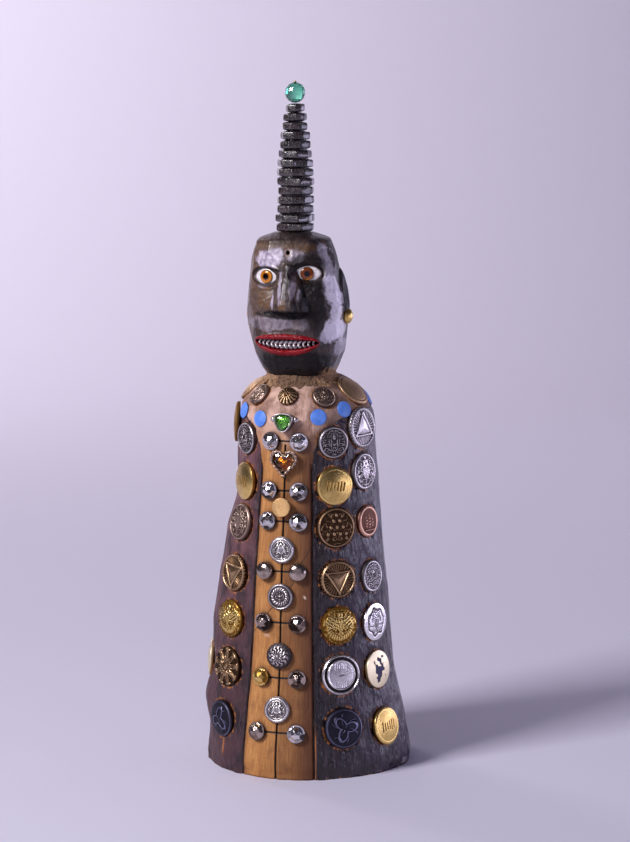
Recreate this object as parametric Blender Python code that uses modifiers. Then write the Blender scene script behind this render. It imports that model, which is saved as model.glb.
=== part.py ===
"""Carved wooden figure in a robe set with metal buttons, with a painted head and a ringed headdress.

Metres, +Z up. The figure faces -Y and stands on Z = 0, with the origin at the middle of its hem.
Angles are in degrees round the Z axis, from the front, positive towards +X. Left and right are as seen
from the front, so right is +X. Heights and carving are shares of the robe, the head or the headdress.
"""

import math

import bmesh
import bpy
import numpy as np
from mathutils import Matrix, Vector

# Gap between two pieces that touch.
CLEARANCE = 0.0003

# Robe: one block, round in plan, wider at the hem and rounded over the shoulders.
ROBE_HEIGHT = 0.238
HEM_RADIUS = 0.0615
ROBE_SIDES = 30
# (share of the robe's height, share of the hem radius)
ROBE_PROFILE = (
    (0.0, 1.0),
    (0.07, 0.975),
    (0.16, 0.922),
    (0.23, 0.880),
    (0.32, 0.843),
    (0.42, 0.815),
    (0.52, 0.785),
    (0.62, 0.745),
    (0.73, 0.705),
    (0.83, 0.675),
    (0.90, 0.655),
    (0.94, 0.615),
    (0.97, 0.53),
    (0.99, 0.43),
    (1.0, 0.36),
)
# The left side stands out in a swell, which steps in again above the elbow and below the knee. The hem
# flares out a little on the right.
SWELL_DEPTH = 0.0066
SWELL_ANGLE = -76
SWELL_HALF_SPREAD = 62
# (share of the robe's height, share of the swell's depth)
SWELL_PROFILE = (
    (0.0, 0.0),
    (0.10, 0.20),
    (0.16, 1.0),
    (0.22, 0.88),
    (0.38, 1.0),
    (0.52, 0.66),
    (0.62, 0.34),
    (0.69, -0.15),
    (0.80, 0.05),
    (0.90, 0.25),
    (1.0, 0.0),
)
FLARE_DEPTH = 0.0034
FLARE_ANGLE = 100
FLARE_TOP = 0.30

# Cut lines in the robe: the panel's two edges run up into the yoke line round the shoulders.
LINE_RADIUS = 0.0008
PANEL_HALF_ANGLE = 22
PANEL_TURN = 0.8
# (angle, share of the robe's height) along the yoke line, from the panel's edge to the back
YOKE_LINE = ((22, 0.78), (24, 0.83), (32, 0.875), (46, 0.905), (70, 0.925), (110, 0.92), (145, 0.912), (180, 0.91))
CENTRE_LINE_TOP = 0.845
LOOP_HALF_ANGLE = 8

# Buttons: their radii, and how deep their seats are cut into the wood.
GREAT_RADIUS = 0.0123
LARGE_RADIUS = 0.0114
MIDDLE_RADIUS = 0.0098
SMALL_RADIUS = 0.0080
YOKE_BUTTON_RADIUS = 0.0072
DISC_RADIUS = 0.0057
DAISY_RADIUS = 0.0060
SHOULDER_RADIUS = 0.0111
BUTTON_RIM = 0.0020
BUTTON_DOME = 0.0016
BUTTON_SIDES = 12
SMALL_BUTTON_SIDES = 10
BUTTON_SEAT = 0.0013
SHOULDER_SEAT = 0.0026
SHANK_RADIUS = 0.0020
SHANK_SEAT = 0.0022
DISC_STANDOFF = 0.0034

# Studs: small faceted domes in pairs, either side of the panel's centre line.
STUD_RADIUS = 0.0054
STUD_HEIGHT = 0.0052
STUD_SIDES = 8
STUD_HALF_ANGLE = 12

# Rows, as shares of the robe's height, from the hem up.
STUD_ROWS = (0.118, 0.255, 0.395, 0.525, 0.651, 0.728, 0.853)
CENTRE_ROWS = (0.176, 0.312, 0.462, 0.580)
DISC_ROW = 0.688
AMBER_HEART_ROW = 0.796
GREEN_HEART_ROW = 0.900
INNER_ROWS = (0.128, 0.262, 0.387, 0.505, 0.635, 0.740, 0.850)
OUTER_ROWS = (0.115, 0.260, 0.382, 0.500, 0.640, 0.768, 0.880)
INNER_ANGLE = 41.5
OUTER_ANGLE = 72.5
YOKE_BUTTON_ROW = 0.962
YOKE_BUTTON_ANGLE = 36.5
SHOULDER_ROW = 0.972
SHOULDER_ANGLE = 80
RIGHT_INNER_RADII = (
    GREAT_RADIUS,
    GREAT_RADIUS,
    LARGE_RADIUS,
    LARGE_RADIUS,
    GREAT_RADIUS,
    LARGE_RADIUS,
    MIDDLE_RADIUS,
)
RIGHT_OUTER_RADII = (
    LARGE_RADIUS,
    LARGE_RADIUS,
    LARGE_RADIUS,
    MIDDLE_RADIUS,
    MIDDLE_RADIUS,
    LARGE_RADIUS,
    GREAT_RADIUS,
)
LEFT_INNER_RADII = (
    LARGE_RADIUS,
    GREAT_RADIUS,
    LARGE_RADIUS,
    LARGE_RADIUS,
    LARGE_RADIUS,
    LARGE_RADIUS,
    MIDDLE_RADIUS,
)
LEFT_OUTER_RADII = RIGHT_OUTER_RADII
# The outer left column's places that have their own solid, counted from 0 at the hem.
LEFT_OUTER_SHOWN = (1, 6)
# Heart buttons: a stone in a metal setting that stands on a shank.
AMBER_HEART_WIDTH = 0.0165
AMBER_SETTING_THICKNESS = 0.0030
GREEN_HEART_WIDTH = 0.0113
GREEN_SETTING_THICKNESS = 0.0058
SETTING_WALL = 0.0012
STONE_SEAT = 0.0012
STONE_PROUD = 0.0010
HEART_POINTS = 20
SIDE_BEAD_RADIUS = 0.0017

# Head: a block with flat temples, flat on top and below, turned a little to the figure's left.
HEAD_HEIGHT = 0.0875
HEAD_HALF_WIDTH = 0.0287
HEAD_HALF_DEPTH = 0.0275
HEAD_X = -0.0014
HEAD_Y = -0.0060
HEAD_LEAN = -0.0048
HEAD_TURN = 4
HEAD_SIDES = 26
HEAD_SQUARENESS = 2.7
# (share of the head's height, share of its half width)
HEAD_PROFILE = (
    (0.0, 0.62),
    (0.03, 0.70),
    (0.08, 0.79),
    (0.14, 0.87),
    (0.24, 0.955),
    (0.33, 1.0),
    (0.42, 1.01),
    (0.50, 1.015),
    (0.58, 0.995),
    (0.66, 0.96),
    (0.72, 0.935),
    (0.78, 0.89),
    (0.85, 0.845),
    (0.92, 0.775),
    (0.965, 0.70),
    (1.0, 0.42),
)

# Face, as places on the head's front: heights as shares of the head's, offsets as shares of its half width.
BROW_HEIGHT = 0.81
BROW_DEPTH = 0.0014
# The right eye sits higher than the left. The nose is off to the right and the mouth to the left.
LEFT_EYE_HEIGHT = 0.710
RIGHT_EYE_HEIGHT = 0.735
EYE_OFFSET = 0.45
EYE_HOLLOW_DEPTH = 0.0022
EYE_HOLLOW_RADIUS = 0.0100
EYE_CUT_HALF_LENGTH = 0.0100
EYE_CUT_HALF_HEIGHT = 0.0063
EYE_CUT_ROUNDING = 0.0050
EYE_CUT_DEPTH = 0.0026
MUZZLE_TOP = 0.44
MUZZLE_DEPTH = 0.0026
NOSE_X = 0.0022
NOSE_TOP = 0.800
NOSE_FOOT = 0.480
NOSE_BRIDGE_WIDTH = 0.0050
NOSE_FOOT_WIDTH = 0.0225
NOSE_REACH = 0.0080
NOSE_ROOT_DEPTH = 0.0090
MOUTH_X = -0.0012
MOUTH_HEIGHT = 0.270
MOUTH_HALF_WIDTH = 0.0198
MOUTH_HALF_OPENING = 0.0034
MOUTH_DROP = 0.0016
MOUTH_DEPTH = 0.0052
LIP_WIDTH = 0.0034
LIP_HEIGHT = 0.0017
LIP_ROOT = 0.0015
LIP_POINTS = 18
EAR_HEIGHT = 0.58
EAR_HALF_HEIGHT = 0.0155
EAR_HALF_LENGTH = 0.0075
EAR_STANDOUT = 0.0030
EAR_BACK_SET = 0.0030
EARRING_RADIUS = 0.0049
EARRING_HEIGHT = 0.0030
EARRING_ROW = 0.425
EARRING_SEAT = 0.0012
EYE_RADIUS = 0.0045
EYE_EDGE = 0.0012
EYE_THICKNESS = 0.0034
EYE_SEAT = 0.0037

# Teeth: two rows of metal beads, each row touching the other.
TEETH_IN_ROW = 8
TOOTH_RADIUS = 0.0017
TOOTH_SIDES = 5
TOOTH_NECK = 0.45
TEETH_SPAN = 0.86

# Headdress: rings cut one above the other in one tapering piece.
RING_COUNT = 14
RING_PITCH = 0.0055
RING_FOOT_RADIUS = 0.0118
RING_TOP_RADIUS = 0.0056
RING_NOTCH = 0.0026
RING_SIDES = 8
RING_TAPER_POWER = 2.6
HEADDRESS_X = 0.0007
HEADDRESS_Y = 0.0008

# Glass bead on its pin, which runs down into the top ring.
BEAD_RADIUS = 0.0062
BEAD_ROWS = 7
BEAD_SIDES = 10
PIN_RADIUS = 0.0006
PIN_DEPTH = 0.0040
PIN_HEAD_RADIUS = 0.0010
PIN_HEAD_HEIGHT = 0.0009

# Cutters run this far past the surface that they cut. Seats are close together, so theirs run less far.
CUTTER_MARGIN = 0.006
SEAT_MARGIN = 0.0024


def clear_scene():
    for obj in list(bpy.data.objects):
        bpy.data.objects.remove(obj)


def make_collection(name):
    collection = bpy.data.collections.new(name)
    bpy.context.scene.collection.children.link(collection)
    return collection


def make_material(name, colour, roughness, metallic):
    material = bpy.data.materials.new(name)
    material.use_nodes = True
    shader = material.node_tree.nodes["Principled BSDF"]
    shader.inputs["Base Color"].default_value = (*colour, 1.0)
    shader.inputs["Roughness"].default_value = roughness
    shader.inputs["Metallic"].default_value = metallic
    material.diffuse_color = (*colour, 1.0)
    return material


def add_object(name, mesh, collection, material=None):
    obj = bpy.data.objects.new(name, mesh)
    collection.objects.link(obj)
    if material is not None:
        mesh.materials.append(material)
    return obj


def add_from_bmesh(name, shape, collection, material=None):
    mesh = bpy.data.meshes.new(name)
    shape.to_mesh(mesh)
    shape.free()
    return add_object(name, mesh, collection, material)


def shade_by_angle(obj, degrees):
    obj.data.shade_smooth()
    obj.data.set_sharp_from_angle(angle=math.radians(degrees))


def hide_cutter(obj):
    obj.hide_render = True
    obj.display_type = "WIRE"


def add_boolean(target, cutter, operation, own_overlaps=False):
    """own_overlaps is for a cutter whose own shapes may run into each other."""
    modifier = target.modifiers.new(f"{operation.title()}_{cutter.name}", "BOOLEAN")
    modifier.operation = operation
    modifier.solver = "EXACT"
    modifier.use_self = own_overlaps
    modifier.object = cutter


def read_curve(points, share):
    """Height of a smooth curve through the points, read at one share of its length."""
    places, values = (np.array(column, float) for column in zip(*points))
    slopes = np.gradient(values, places)
    i = int(np.clip(np.searchsorted(places, share) - 1, 0, len(places) - 2))
    step = places[i + 1] - places[i]
    u = min(max((share - places[i]) / step, 0.0), 1.0)
    rise = values[i] * (1 + 2 * u) * (1 - u) ** 2 + values[i + 1] * u * u * (3 - 2 * u)
    return rise + step * (slopes[i] * u * (1 - u) ** 2 - slopes[i + 1] * u * u * (1 - u))


def bump(distance, half_spread):
    """A smooth hump: 1 in the middle, and 0 from the half spread outwards."""
    return 0.5 + 0.5 * math.cos(math.pi * min(1.0, abs(distance) / half_spread))


def robe_point(angle, height):
    """A point of the robe's surface at an angle and a share of its height."""
    away = (angle - SWELL_ANGLE + 180) % 360 - 180
    swell = SWELL_DEPTH * read_curve(SWELL_PROFILE, height) * bump(away, SWELL_HALF_SPREAD)
    away = (angle - FLARE_ANGLE + 180) % 360 - 180
    flare = FLARE_DEPTH * bump(max(height, 0.0), FLARE_TOP) * bump(away, SWELL_HALF_SPREAD)
    radius = HEM_RADIUS * read_curve(ROBE_PROFILE, height) + swell + flare
    turn = math.radians(angle)
    return Vector((radius * math.sin(turn), -radius * math.cos(turn), height * ROBE_HEIGHT))


def robe_seat(angle, height, sunk=0.0):
    """Frame of a seat on the robe: Z out of the wood, X level, its origin sunk under the surface."""
    across = robe_point(angle + 1, height) - robe_point(angle - 1, height)
    along = robe_point(angle, height + 0.01) - robe_point(angle, height - 0.01)
    return seat_frame(robe_point(angle, height), across.cross(along), sunk)


def seat_frame(place, outward, sunk):
    out = outward.normalized()
    side = Vector((0, 0, 1)).cross(out).normalized()
    frame = Matrix((side, out.cross(side), out)).transposed().to_4x4()
    frame.translation = place - out * sunk
    return frame


def loft(rings, round_again=False):
    """A closed skin over rings of points: its ends are filled flat, or its last ring joins its first."""
    shape = bmesh.new()
    rows = [[shape.verts.new(point) for point in ring] for ring in rings]
    following = rows[1:] + rows[:1] if round_again else rows[1:]
    for lower, upper in zip(rows, following):
        for i in range(len(lower)):
            after = (i + 1) % len(lower)
            shape.faces.new((lower[i], lower[after], upper[after], upper[i]))
    if not round_again:
        shape.faces.new(rows[0][::-1])
        shape.faces.new(rows[-1])
    bmesh.ops.recalc_face_normals(shape, faces=shape.faces)
    return shape


def turn_profile(name, profile, frame, sides, collection, material, smooth=True):
    """A turned solid. The profile is (radius, height) from the top of its axis down its outer side."""
    mesh = bpy.data.meshes.new(name)
    points = [(radius, 0.0, height) for radius, height in profile]
    mesh.from_pydata(points, [(i, i + 1) for i in range(len(points) - 1)], [])
    obj = add_object(name, mesh, collection, material)
    obj.matrix_world = frame
    screw = obj.modifiers.new("Turn", "SCREW")
    screw.steps = screw.render_steps = sides
    screw.use_merge_vertices = True
    screw.merge_threshold = 0.00001
    screw.use_smooth_shade = smooth
    return obj


def tube_cutter(name, paths, radius, collection):
    """Round tubes along paths of points, as one mesh with closed ends."""
    curve = bpy.data.curves.new(name, "CURVE")
    curve.dimensions = "3D"
    curve.bevel_depth = radius
    curve.bevel_resolution = 0
    curve.use_fill_caps = True
    for path in paths:
        spline = curve.splines.new("POLY")
        spline.points.add(len(path) - 1)
        for point, place in zip(spline.points, path):
            point.co = (*place, 1.0)
    return mesh_of_curve(name, curve, collection)


def mesh_of_curve(name, curve, collection):
    guide = add_object(name + "_guide", curve, collection)
    bpy.context.view_layer.update()
    evaluated = guide.evaluated_get(bpy.context.evaluated_depsgraph_get())
    mesh = bpy.data.meshes.new_from_object(evaluated)
    shape = bmesh.new()
    shape.from_mesh(mesh)
    bmesh.ops.remove_doubles(shape, verts=shape.verts, dist=0.00001)
    bmesh.ops.recalc_face_normals(shape, faces=shape.faces)
    shape.to_mesh(mesh)
    shape.free()
    obj = add_object(name, mesh, collection)
    obj.matrix_world = guide.matrix_world.copy()
    bpy.data.objects.remove(guide)
    return obj


def mirrored_name(side, number=None):
    word = "left" if side < 0 else "right"
    return word if number is None else f"{word}_{number}"


def column_seats():
    """(name, angle, height, radius, has a solid) of each button in the four columns."""
    columns = (
        ("inner_button_left", -INNER_ANGLE, INNER_ROWS, LEFT_INNER_RADII, range(len(INNER_ROWS))),
        ("inner_button_right", INNER_ANGLE, INNER_ROWS, RIGHT_INNER_RADII, range(len(INNER_ROWS))),
        ("outer_button_left", -OUTER_ANGLE, OUTER_ROWS, LEFT_OUTER_RADII, LEFT_OUTER_SHOWN),
        ("outer_button_right", OUTER_ANGLE, OUTER_ROWS, RIGHT_OUTER_RADII, range(len(OUTER_ROWS))),
    )
    for word, angle, rows, radii, shown in columns:
        for place, (height, radius) in enumerate(zip(rows, radii)):
            yield f"{word}_{place + 1}", angle, height, radius, place in shown


def add_seat_cut(shape, angle, height, radius, depth, sides):
    """Adds a short cylinder to the cutter, whose floor is the seat's depth under the surface."""
    reach = depth + SEAT_MARGIN
    frame = robe_seat(angle, height, sunk=depth) @ Matrix.Translation((0, 0, reach / 2))
    around = radius + CLEARANCE / math.cos(math.pi / sides)
    bmesh.ops.create_cone(
        shape,
        cap_ends=True,
        segments=sides,
        radius1=around,
        radius2=around,
        depth=reach,
        matrix=frame,
    )


def make_seat_cutter(collection):
    """Studs and small panel buttons lie on the wood, and the hearts and the disc stand on shanks."""
    shape = bmesh.new()
    for _, angle, height, radius, shown in column_seats():
        if shown:
            add_seat_cut(shape, angle, height, radius, BUTTON_SEAT, BUTTON_SIDES)
    for height in (DISC_ROW, AMBER_HEART_ROW, GREEN_HEART_ROW):
        add_seat_cut(shape, PANEL_TURN, height, SHANK_RADIUS, SHANK_SEAT, STUD_SIDES)
    for side in (-1, 1):
        angle = side * YOKE_BUTTON_ANGLE
        add_seat_cut(shape, angle, YOKE_BUTTON_ROW, YOKE_BUTTON_RADIUS, BUTTON_SEAT, SMALL_BUTTON_SIDES)
        angle = side * SHOULDER_ANGLE
        add_seat_cut(shape, angle, SHOULDER_ROW, SHOULDER_RADIUS, SHOULDER_SEAT, BUTTON_SIDES)
    add_seat_cut(shape, 0, YOKE_BUTTON_ROW, DAISY_RADIUS, BUTTON_SEAT / 2, SMALL_BUTTON_SIDES)
    return add_from_bmesh("seat_cutter", shape, collection)


def line_place(angle, height):
    """The middle of a cut line, a little under the surface."""
    return robe_seat(angle, height, sunk=LINE_RADIUS * 0.3).translation


def panel_path(side):
    """Points of a panel edge from under the hem up, and on along the yoke line to the back."""
    steps = np.linspace(-0.01, YOKE_LINE[0][1], 6)
    path = [line_place(side * PANEL_HALF_ANGLE + PANEL_TURN, height) for height in steps]
    angles, heights = zip(*YOKE_LINE)
    turns = np.concatenate([np.linspace(24, 46, 4), np.linspace(61, 180, 8)])
    path += [line_place(side * turn + PANEL_TURN, np.interp(turn, angles, heights)) for turn in turns]
    return path


def make_line_cutter(collection):
    """The border is one line: up one edge of the panel, round the back, and down the other."""
    border = panel_path(-1) + panel_path(1)[-2::-1]
    return tube_cutter("line_cutter", [border], LINE_RADIUS, collection)


def make_centre_cutter(collection):
    steps = np.linspace(-0.01, CENTRE_LINE_TOP, 7)
    line = [line_place(PANEL_TURN, height) for height in steps]
    return tube_cutter("centre_cutter", [line], LINE_RADIUS, collection)


def make_loop_cutter(collection):
    """The short cut between the two studs of each pair."""
    turns = (-LOOP_HALF_ANGLE, LOOP_HALF_ANGLE)
    paths = []
    for height in STUD_ROWS:
        seats = [robe_seat(turn + PANEL_TURN, height, sunk=-LINE_RADIUS * 0.45) for turn in turns]
        paths.append([seat.translation for seat in seats])
    return tube_cutter("loop_cutter", paths, LINE_RADIUS * 0.8, collection)


def make_robe(parts, cutters, material):
    heights = [share for share, _ in ROBE_PROFILE]
    turns = np.arange(ROBE_SIDES) * 360 / ROBE_SIDES
    rings = [[robe_point(turn, height) for turn in turns] for height in heights]
    robe = add_from_bmesh("robe", loft(rings), parts, material)
    shade_by_angle(robe, 40)
    cutter_makers = (make_seat_cutter, make_line_cutter, make_centre_cutter, make_loop_cutter)
    for make_cutter in cutter_makers:
        cutter = make_cutter(cutters)
        hide_cutter(cutter)
        add_boolean(robe, cutter, "DIFFERENCE", own_overlaps=cutter.name in ("seat_cutter", "loop_cutter"))
    return robe


def button_profile(radius, rim, dome):
    return ((0.0, rim + dome), (radius * 0.62, rim + dome * 0.7), (radius, rim), (radius, 0.0), (0.0, 0.0))


def add_button(name, angle, height, radius, seat, parts, material, dome=BUTTON_DOME):
    frame = robe_seat(angle, height, sunk=seat - CLEARANCE)
    profile = button_profile(radius, BUTTON_RIM, dome)
    sides = BUTTON_SIDES if radius > SMALL_RADIUS else SMALL_BUTTON_SIDES
    return turn_profile(name, profile, frame, sides, parts, material)


def make_column_buttons(parts, materials):
    """The finish of each button in a column, from the hem up, repeats on both sides of the robe."""
    finishes = {
        "inner": ("blackened", "steel", "brass", "bronze", "bronze", "brass", "steel"),
        "outer": ("brass", "brass", "steel", "steel", "copper", "steel", "steel"),
    }
    for name, angle, height, radius, shown in column_seats():
        if shown:
            finish = finishes[name.split("_")[0]][int(name.split("_")[-1]) - 1]
            add_button(name, angle, height, radius, BUTTON_SEAT, parts, materials[finish])


def make_panel_buttons(parts, materials):
    finishes = ("steel", "steel", "blackened", "steel")
    for place, (height, finish) in enumerate(zip(CENTRE_ROWS, finishes)):
        name = f"panel_button_{place + 1}"
        dome = STUD_HEIGHT - BUTTON_RIM if place == 1 else BUTTON_DOME
        add_button(name, PANEL_TURN, height, SMALL_RADIUS, 0.0, parts, materials[finish], dome)
    shank_foot = 0.0
    disc_foot = SHANK_SEAT + DISC_STANDOFF
    disc = (
        (0.0, disc_foot + BUTTON_RIM),
        (DISC_RADIUS, disc_foot + BUTTON_RIM),
        (DISC_RADIUS, disc_foot),
        (SHANK_RADIUS, disc_foot),
        (SHANK_RADIUS, shank_foot),
        (0.0, shank_foot),
    )
    frame = robe_seat(PANEL_TURN, DISC_ROW, sunk=SHANK_SEAT - CLEARANCE)
    turn_profile("panel_button_5", disc, frame, SMALL_BUTTON_SIDES, parts, materials["brass"])


def make_yoke_buttons(parts, materials):
    for side, finish in ((-1, "steel"), (1, "bronze")):
        word = mirrored_name(side)
        angle = side * YOKE_BUTTON_ANGLE
        name = f"yoke_button_{word}"
        add_button(name, angle, YOKE_BUTTON_ROW, YOKE_BUTTON_RADIUS, BUTTON_SEAT, parts, materials[finish])
        angle = side * SHOULDER_ANGLE
        name = f"shoulder_button_{word}"
        frame = robe_seat(angle, SHOULDER_ROW, sunk=SHOULDER_SEAT - CLEARANCE)
        profile = button_profile(SHOULDER_RADIUS, BUTTON_RIM, BUTTON_DOME * 1.8)
        turn_profile(name, profile, frame, BUTTON_SIDES, parts, materials["brass"])
    daisy_seat = BUTTON_SEAT / 2
    add_button("yoke_button_middle", 0, YOKE_BUTTON_ROW, DAISY_RADIUS, daisy_seat, parts, materials["bronze"])


def make_studs(parts, materials):
    profile = (
        (0.0, STUD_HEIGHT),
        (STUD_RADIUS * 0.5, STUD_HEIGHT),
        (STUD_RADIUS, STUD_HEIGHT * 0.45),
        (STUD_RADIUS * 0.8, 0.0),
        (0.0, 0.0),
    )
    for side in (-1, 1):
        for place, height in enumerate(STUD_ROWS):
            name = f"stud_{mirrored_name(side, place + 1)}"
            frame = robe_seat(side * STUD_HALF_ANGLE + PANEL_TURN, height, sunk=-CLEARANCE)
            turn_profile(name, profile, frame, STUD_SIDES, parts, materials["steel"], smooth=False)


def heart_outline(width, inset=0.0):
    """Points of a heart, point down: a rounded outline whose top dips in the middle."""
    half = width / 2 - inset
    turns = np.arange(HEART_POINTS) * 2 * math.pi / HEART_POINTS
    across = half * np.sin(turns) ** 3
    up = half * (13 * np.cos(turns) - 5 * np.cos(2 * turns) - 2 * np.cos(3 * turns) - np.cos(4 * turns)) / 14.5
    return [(x, y) for x, y in zip(across, up + half * 0.16)]


def heart_prism(outline, low, high):
    rings = [[(x, y, z) for x, y in outline] for z in (low, high)]
    return loft(rings)


def make_heart(word, height, width, thickness, finish, parts, cutters, materials):
    """The setting is a heart on a shank, hollowed for the stone, which stands a little out of it."""
    frame = robe_seat(PANEL_TURN, height, sunk=SHANK_SEAT - CLEARANCE)
    foot = SHANK_SEAT + CLEARANCE
    setting_name = f"heart_setting_{word}"
    setting = add_from_bmesh(
        setting_name, heart_prism(heart_outline(width), foot, foot + thickness), parts, materials[finish]
    )
    shank_shape = bmesh.new()
    shank_top = foot + thickness / 3
    bmesh.ops.create_cone(
        shank_shape,
        cap_ends=True,
        segments=STUD_SIDES,
        radius1=SHANK_RADIUS,
        radius2=SHANK_RADIUS,
        depth=shank_top,
        matrix=Matrix.Translation((0, 0, shank_top / 2)),
    )
    if word == "green":
        for side in (-1, 1):
            place = (side * (width / 2 + SIDE_BEAD_RADIUS * 0.3), width * 0.16, foot + SIDE_BEAD_RADIUS)
            bmesh.ops.create_icosphere(
                shank_shape,
                subdivisions=1,
                radius=SIDE_BEAD_RADIUS,
                matrix=Matrix.Translation(place),
            )
    stone_floor = foot + thickness - STONE_SEAT
    hollow_shape = heart_prism(
        heart_outline(width, SETTING_WALL), stone_floor, foot + thickness + CUTTER_MARGIN
    )
    hollow = add_from_bmesh(f"heart_hollow_{word}", hollow_shape, cutters)
    additions = add_from_bmesh(f"heart_shank_{word}", shank_shape, cutters)
    stone_outline = heart_outline(width, SETTING_WALL + CLEARANCE)
    stone_top = foot + thickness + STONE_PROUD
    stone_shape = bmesh.new()
    table = [(x * 0.55, y * 0.55, stone_top) for x, y in stone_outline]
    girdle = [(x, y, foot + thickness - CLEARANCE) for x, y in stone_outline]
    seat = [(x, y, stone_floor + CLEARANCE) for x, y in stone_outline]
    stone_shape.free()
    stone = add_from_bmesh(f"heart_stone_{word}", loft([seat, girdle, table]), parts, materials[word])
    for obj in (setting, additions, hollow, stone):
        obj.matrix_world = frame
    for cutter in (additions, hollow):
        hide_cutter(cutter)
    add_boolean(setting, additions, "UNION")
    add_boolean(setting, hollow, "DIFFERENCE")


def head_frame():
    """Frame of the head: its origin on the neck, its front along -Y."""
    frame = Matrix.Rotation(math.radians(HEAD_TURN), 4, "Z")
    frame.translation = (HEAD_X, HEAD_Y, ROBE_HEIGHT + CLEARANCE)
    return frame


def head_radii(height):
    share = read_curve(HEAD_PROFILE, height)
    return HEAD_HALF_WIDTH * share, HEAD_HALF_DEPTH * share


def face_relief(x, height):
    """How far the face stands out of the plain block at an offset and a share of the head's height."""
    up = height * HEAD_HEIGHT
    brow = BROW_DEPTH * bump(height - BROW_HEIGHT, 0.09)
    hollow = 0.0
    for side, eye_height in ((-1, LEFT_EYE_HEIGHT), (1, RIGHT_EYE_HEIGHT)):
        away = math.hypot(x - side * EYE_OFFSET * HEAD_HALF_WIDTH, up - eye_height * HEAD_HEIGHT)
        hollow += EYE_HOLLOW_DEPTH * bump(away, EYE_HOLLOW_RADIUS * 1.5)
    muzzle = MUZZLE_DEPTH * bump(height - MUZZLE_TOP / 2, MUZZLE_TOP * 0.62) ** 0.5
    return brow - hollow + muzzle


def head_point(angle, height):
    """A point of the head's surface, in the head's own frame."""
    half_width, half_depth = head_radii(height)
    turn = math.radians(angle)
    power = 2 / HEAD_SQUARENESS
    x = half_width * math.copysign(abs(math.sin(turn)) ** power, math.sin(turn))
    y = -half_depth * math.copysign(abs(math.cos(turn)) ** power, math.cos(turn))
    front = bump(angle, 75) if abs(angle) < 75 else 0.0
    y -= face_relief(x, height) * min(1.0, 1.6 * front)
    return Vector((x + HEAD_LEAN * height, y, height * HEAD_HEIGHT))


def face_place(x, height):
    """Where the face's surface is at an offset from its middle and a share of the head's height."""
    low, high = (0.0, 89.0) if x >= 0 else (-89.0, 0.0)
    for _ in range(30):
        middle = (low + high) / 2
        if head_point(middle, height).x < x + HEAD_LEAN * height:
            low = middle
        else:
            high = middle
    return head_point((low + high) / 2, height)


def head_seat(angle, height, sunk):
    across = head_point(angle + 2, height) - head_point(angle - 2, height)
    along = head_point(angle, height + 0.02) - head_point(angle, height - 0.02)
    return seat_frame(head_point(angle, height), across.cross(along), sunk)


def eye_seat(side, sunk):
    """The eyes look straight ahead, a little out to each side."""
    eye_height = LEFT_EYE_HEIGHT if side < 0 else RIGHT_EYE_HEIGHT
    place = face_place(side * EYE_OFFSET * HEAD_HALF_WIDTH, eye_height)
    outward = Vector((side * 0.22, -1.0, 0.04))
    return seat_frame(place, outward, sunk)


def earring_seat(side, sunk):
    half_width, _ = head_radii(EARRING_ROW)
    place = Vector((side * half_width + HEAD_LEAN * EARRING_ROW, EAR_BACK_SET, EARRING_ROW * HEAD_HEIGHT))
    return seat_frame(place, Vector((side, 0, 0)), sunk)


def make_nose(collection):
    """A wedge from the brow, widest and deepest at its foot, which is cut off level."""
    rings = []
    for share, width, reach in ((0.0, 1.0, 1.0), (0.16, 0.96, 1.0), (0.6, 0.52, 0.62), (1.0, 0.0, 0.12)):
        height = NOSE_FOOT + share * (NOSE_TOP - NOSE_FOOT)
        half = (NOSE_BRIDGE_WIDTH + width * (NOSE_FOOT_WIDTH - NOSE_BRIDGE_WIDTH)) / 2
        front = face_place(NOSE_X, height).y
        ridge = front - NOSE_REACH * reach
        root = front + NOSE_ROOT_DEPTH
        lean = HEAD_LEAN * height + NOSE_X
        up = height * HEAD_HEIGHT
        shoulder = front + (ridge - front) * 0.35
        ring = (
            (lean - half, root, up),
            (lean - half, shoulder, up),
            (lean - half * 0.3, ridge, up),
            (lean + half * 0.3, ridge, up),
            (lean + half, shoulder, up),
            (lean + half, root, up),
        )
        rings.append(ring)
    return add_from_bmesh("nose", loft(rings), collection)


def make_ear(side, collection):
    """A half-round flap whose rim stands out from the temple, hollowed towards the front."""
    half_width, _ = head_radii(EAR_HEIGHT)
    shape = bmesh.new()
    lean = HEAD_LEAN * EAR_HEIGHT
    middle = Vector((side * (half_width - 0.001) + lean, EAR_BACK_SET, EAR_HEIGHT * HEAD_HEIGHT))
    bmesh.ops.create_uvsphere(shape, u_segments=8, v_segments=6, radius=1.0)
    for vert in shape.verts:
        x, y, z = vert.co
        vert.co = (
            middle.x + x * EAR_STANDOUT,
            middle.y + y * EAR_HALF_LENGTH + EAR_HALF_LENGTH * 0.25 * (1 - z * z),
            middle.z + z * EAR_HALF_HEIGHT,
        )
    return add_from_bmesh(f"ear_{mirrored_name(side)}", shape, collection)


def mouth_outline(grow):
    """Offsets and heights round the mouth: an almond grown by a distance, which drops in its middle."""
    turns = np.arange(LIP_POINTS) * 2 * math.pi / LIP_POINTS
    across = (MOUTH_HALF_WIDTH + grow * 0.35) * np.cos(turns)
    up = (MOUTH_HALF_OPENING + grow) * np.sign(np.sin(turns)) * np.abs(np.sin(turns)) ** 1.2
    up -= MOUTH_DROP * np.sin(turns) ** 2
    return [(x + MOUTH_X, MOUTH_HEIGHT + z / HEAD_HEIGHT) for x, z in zip(across, up)]


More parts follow.
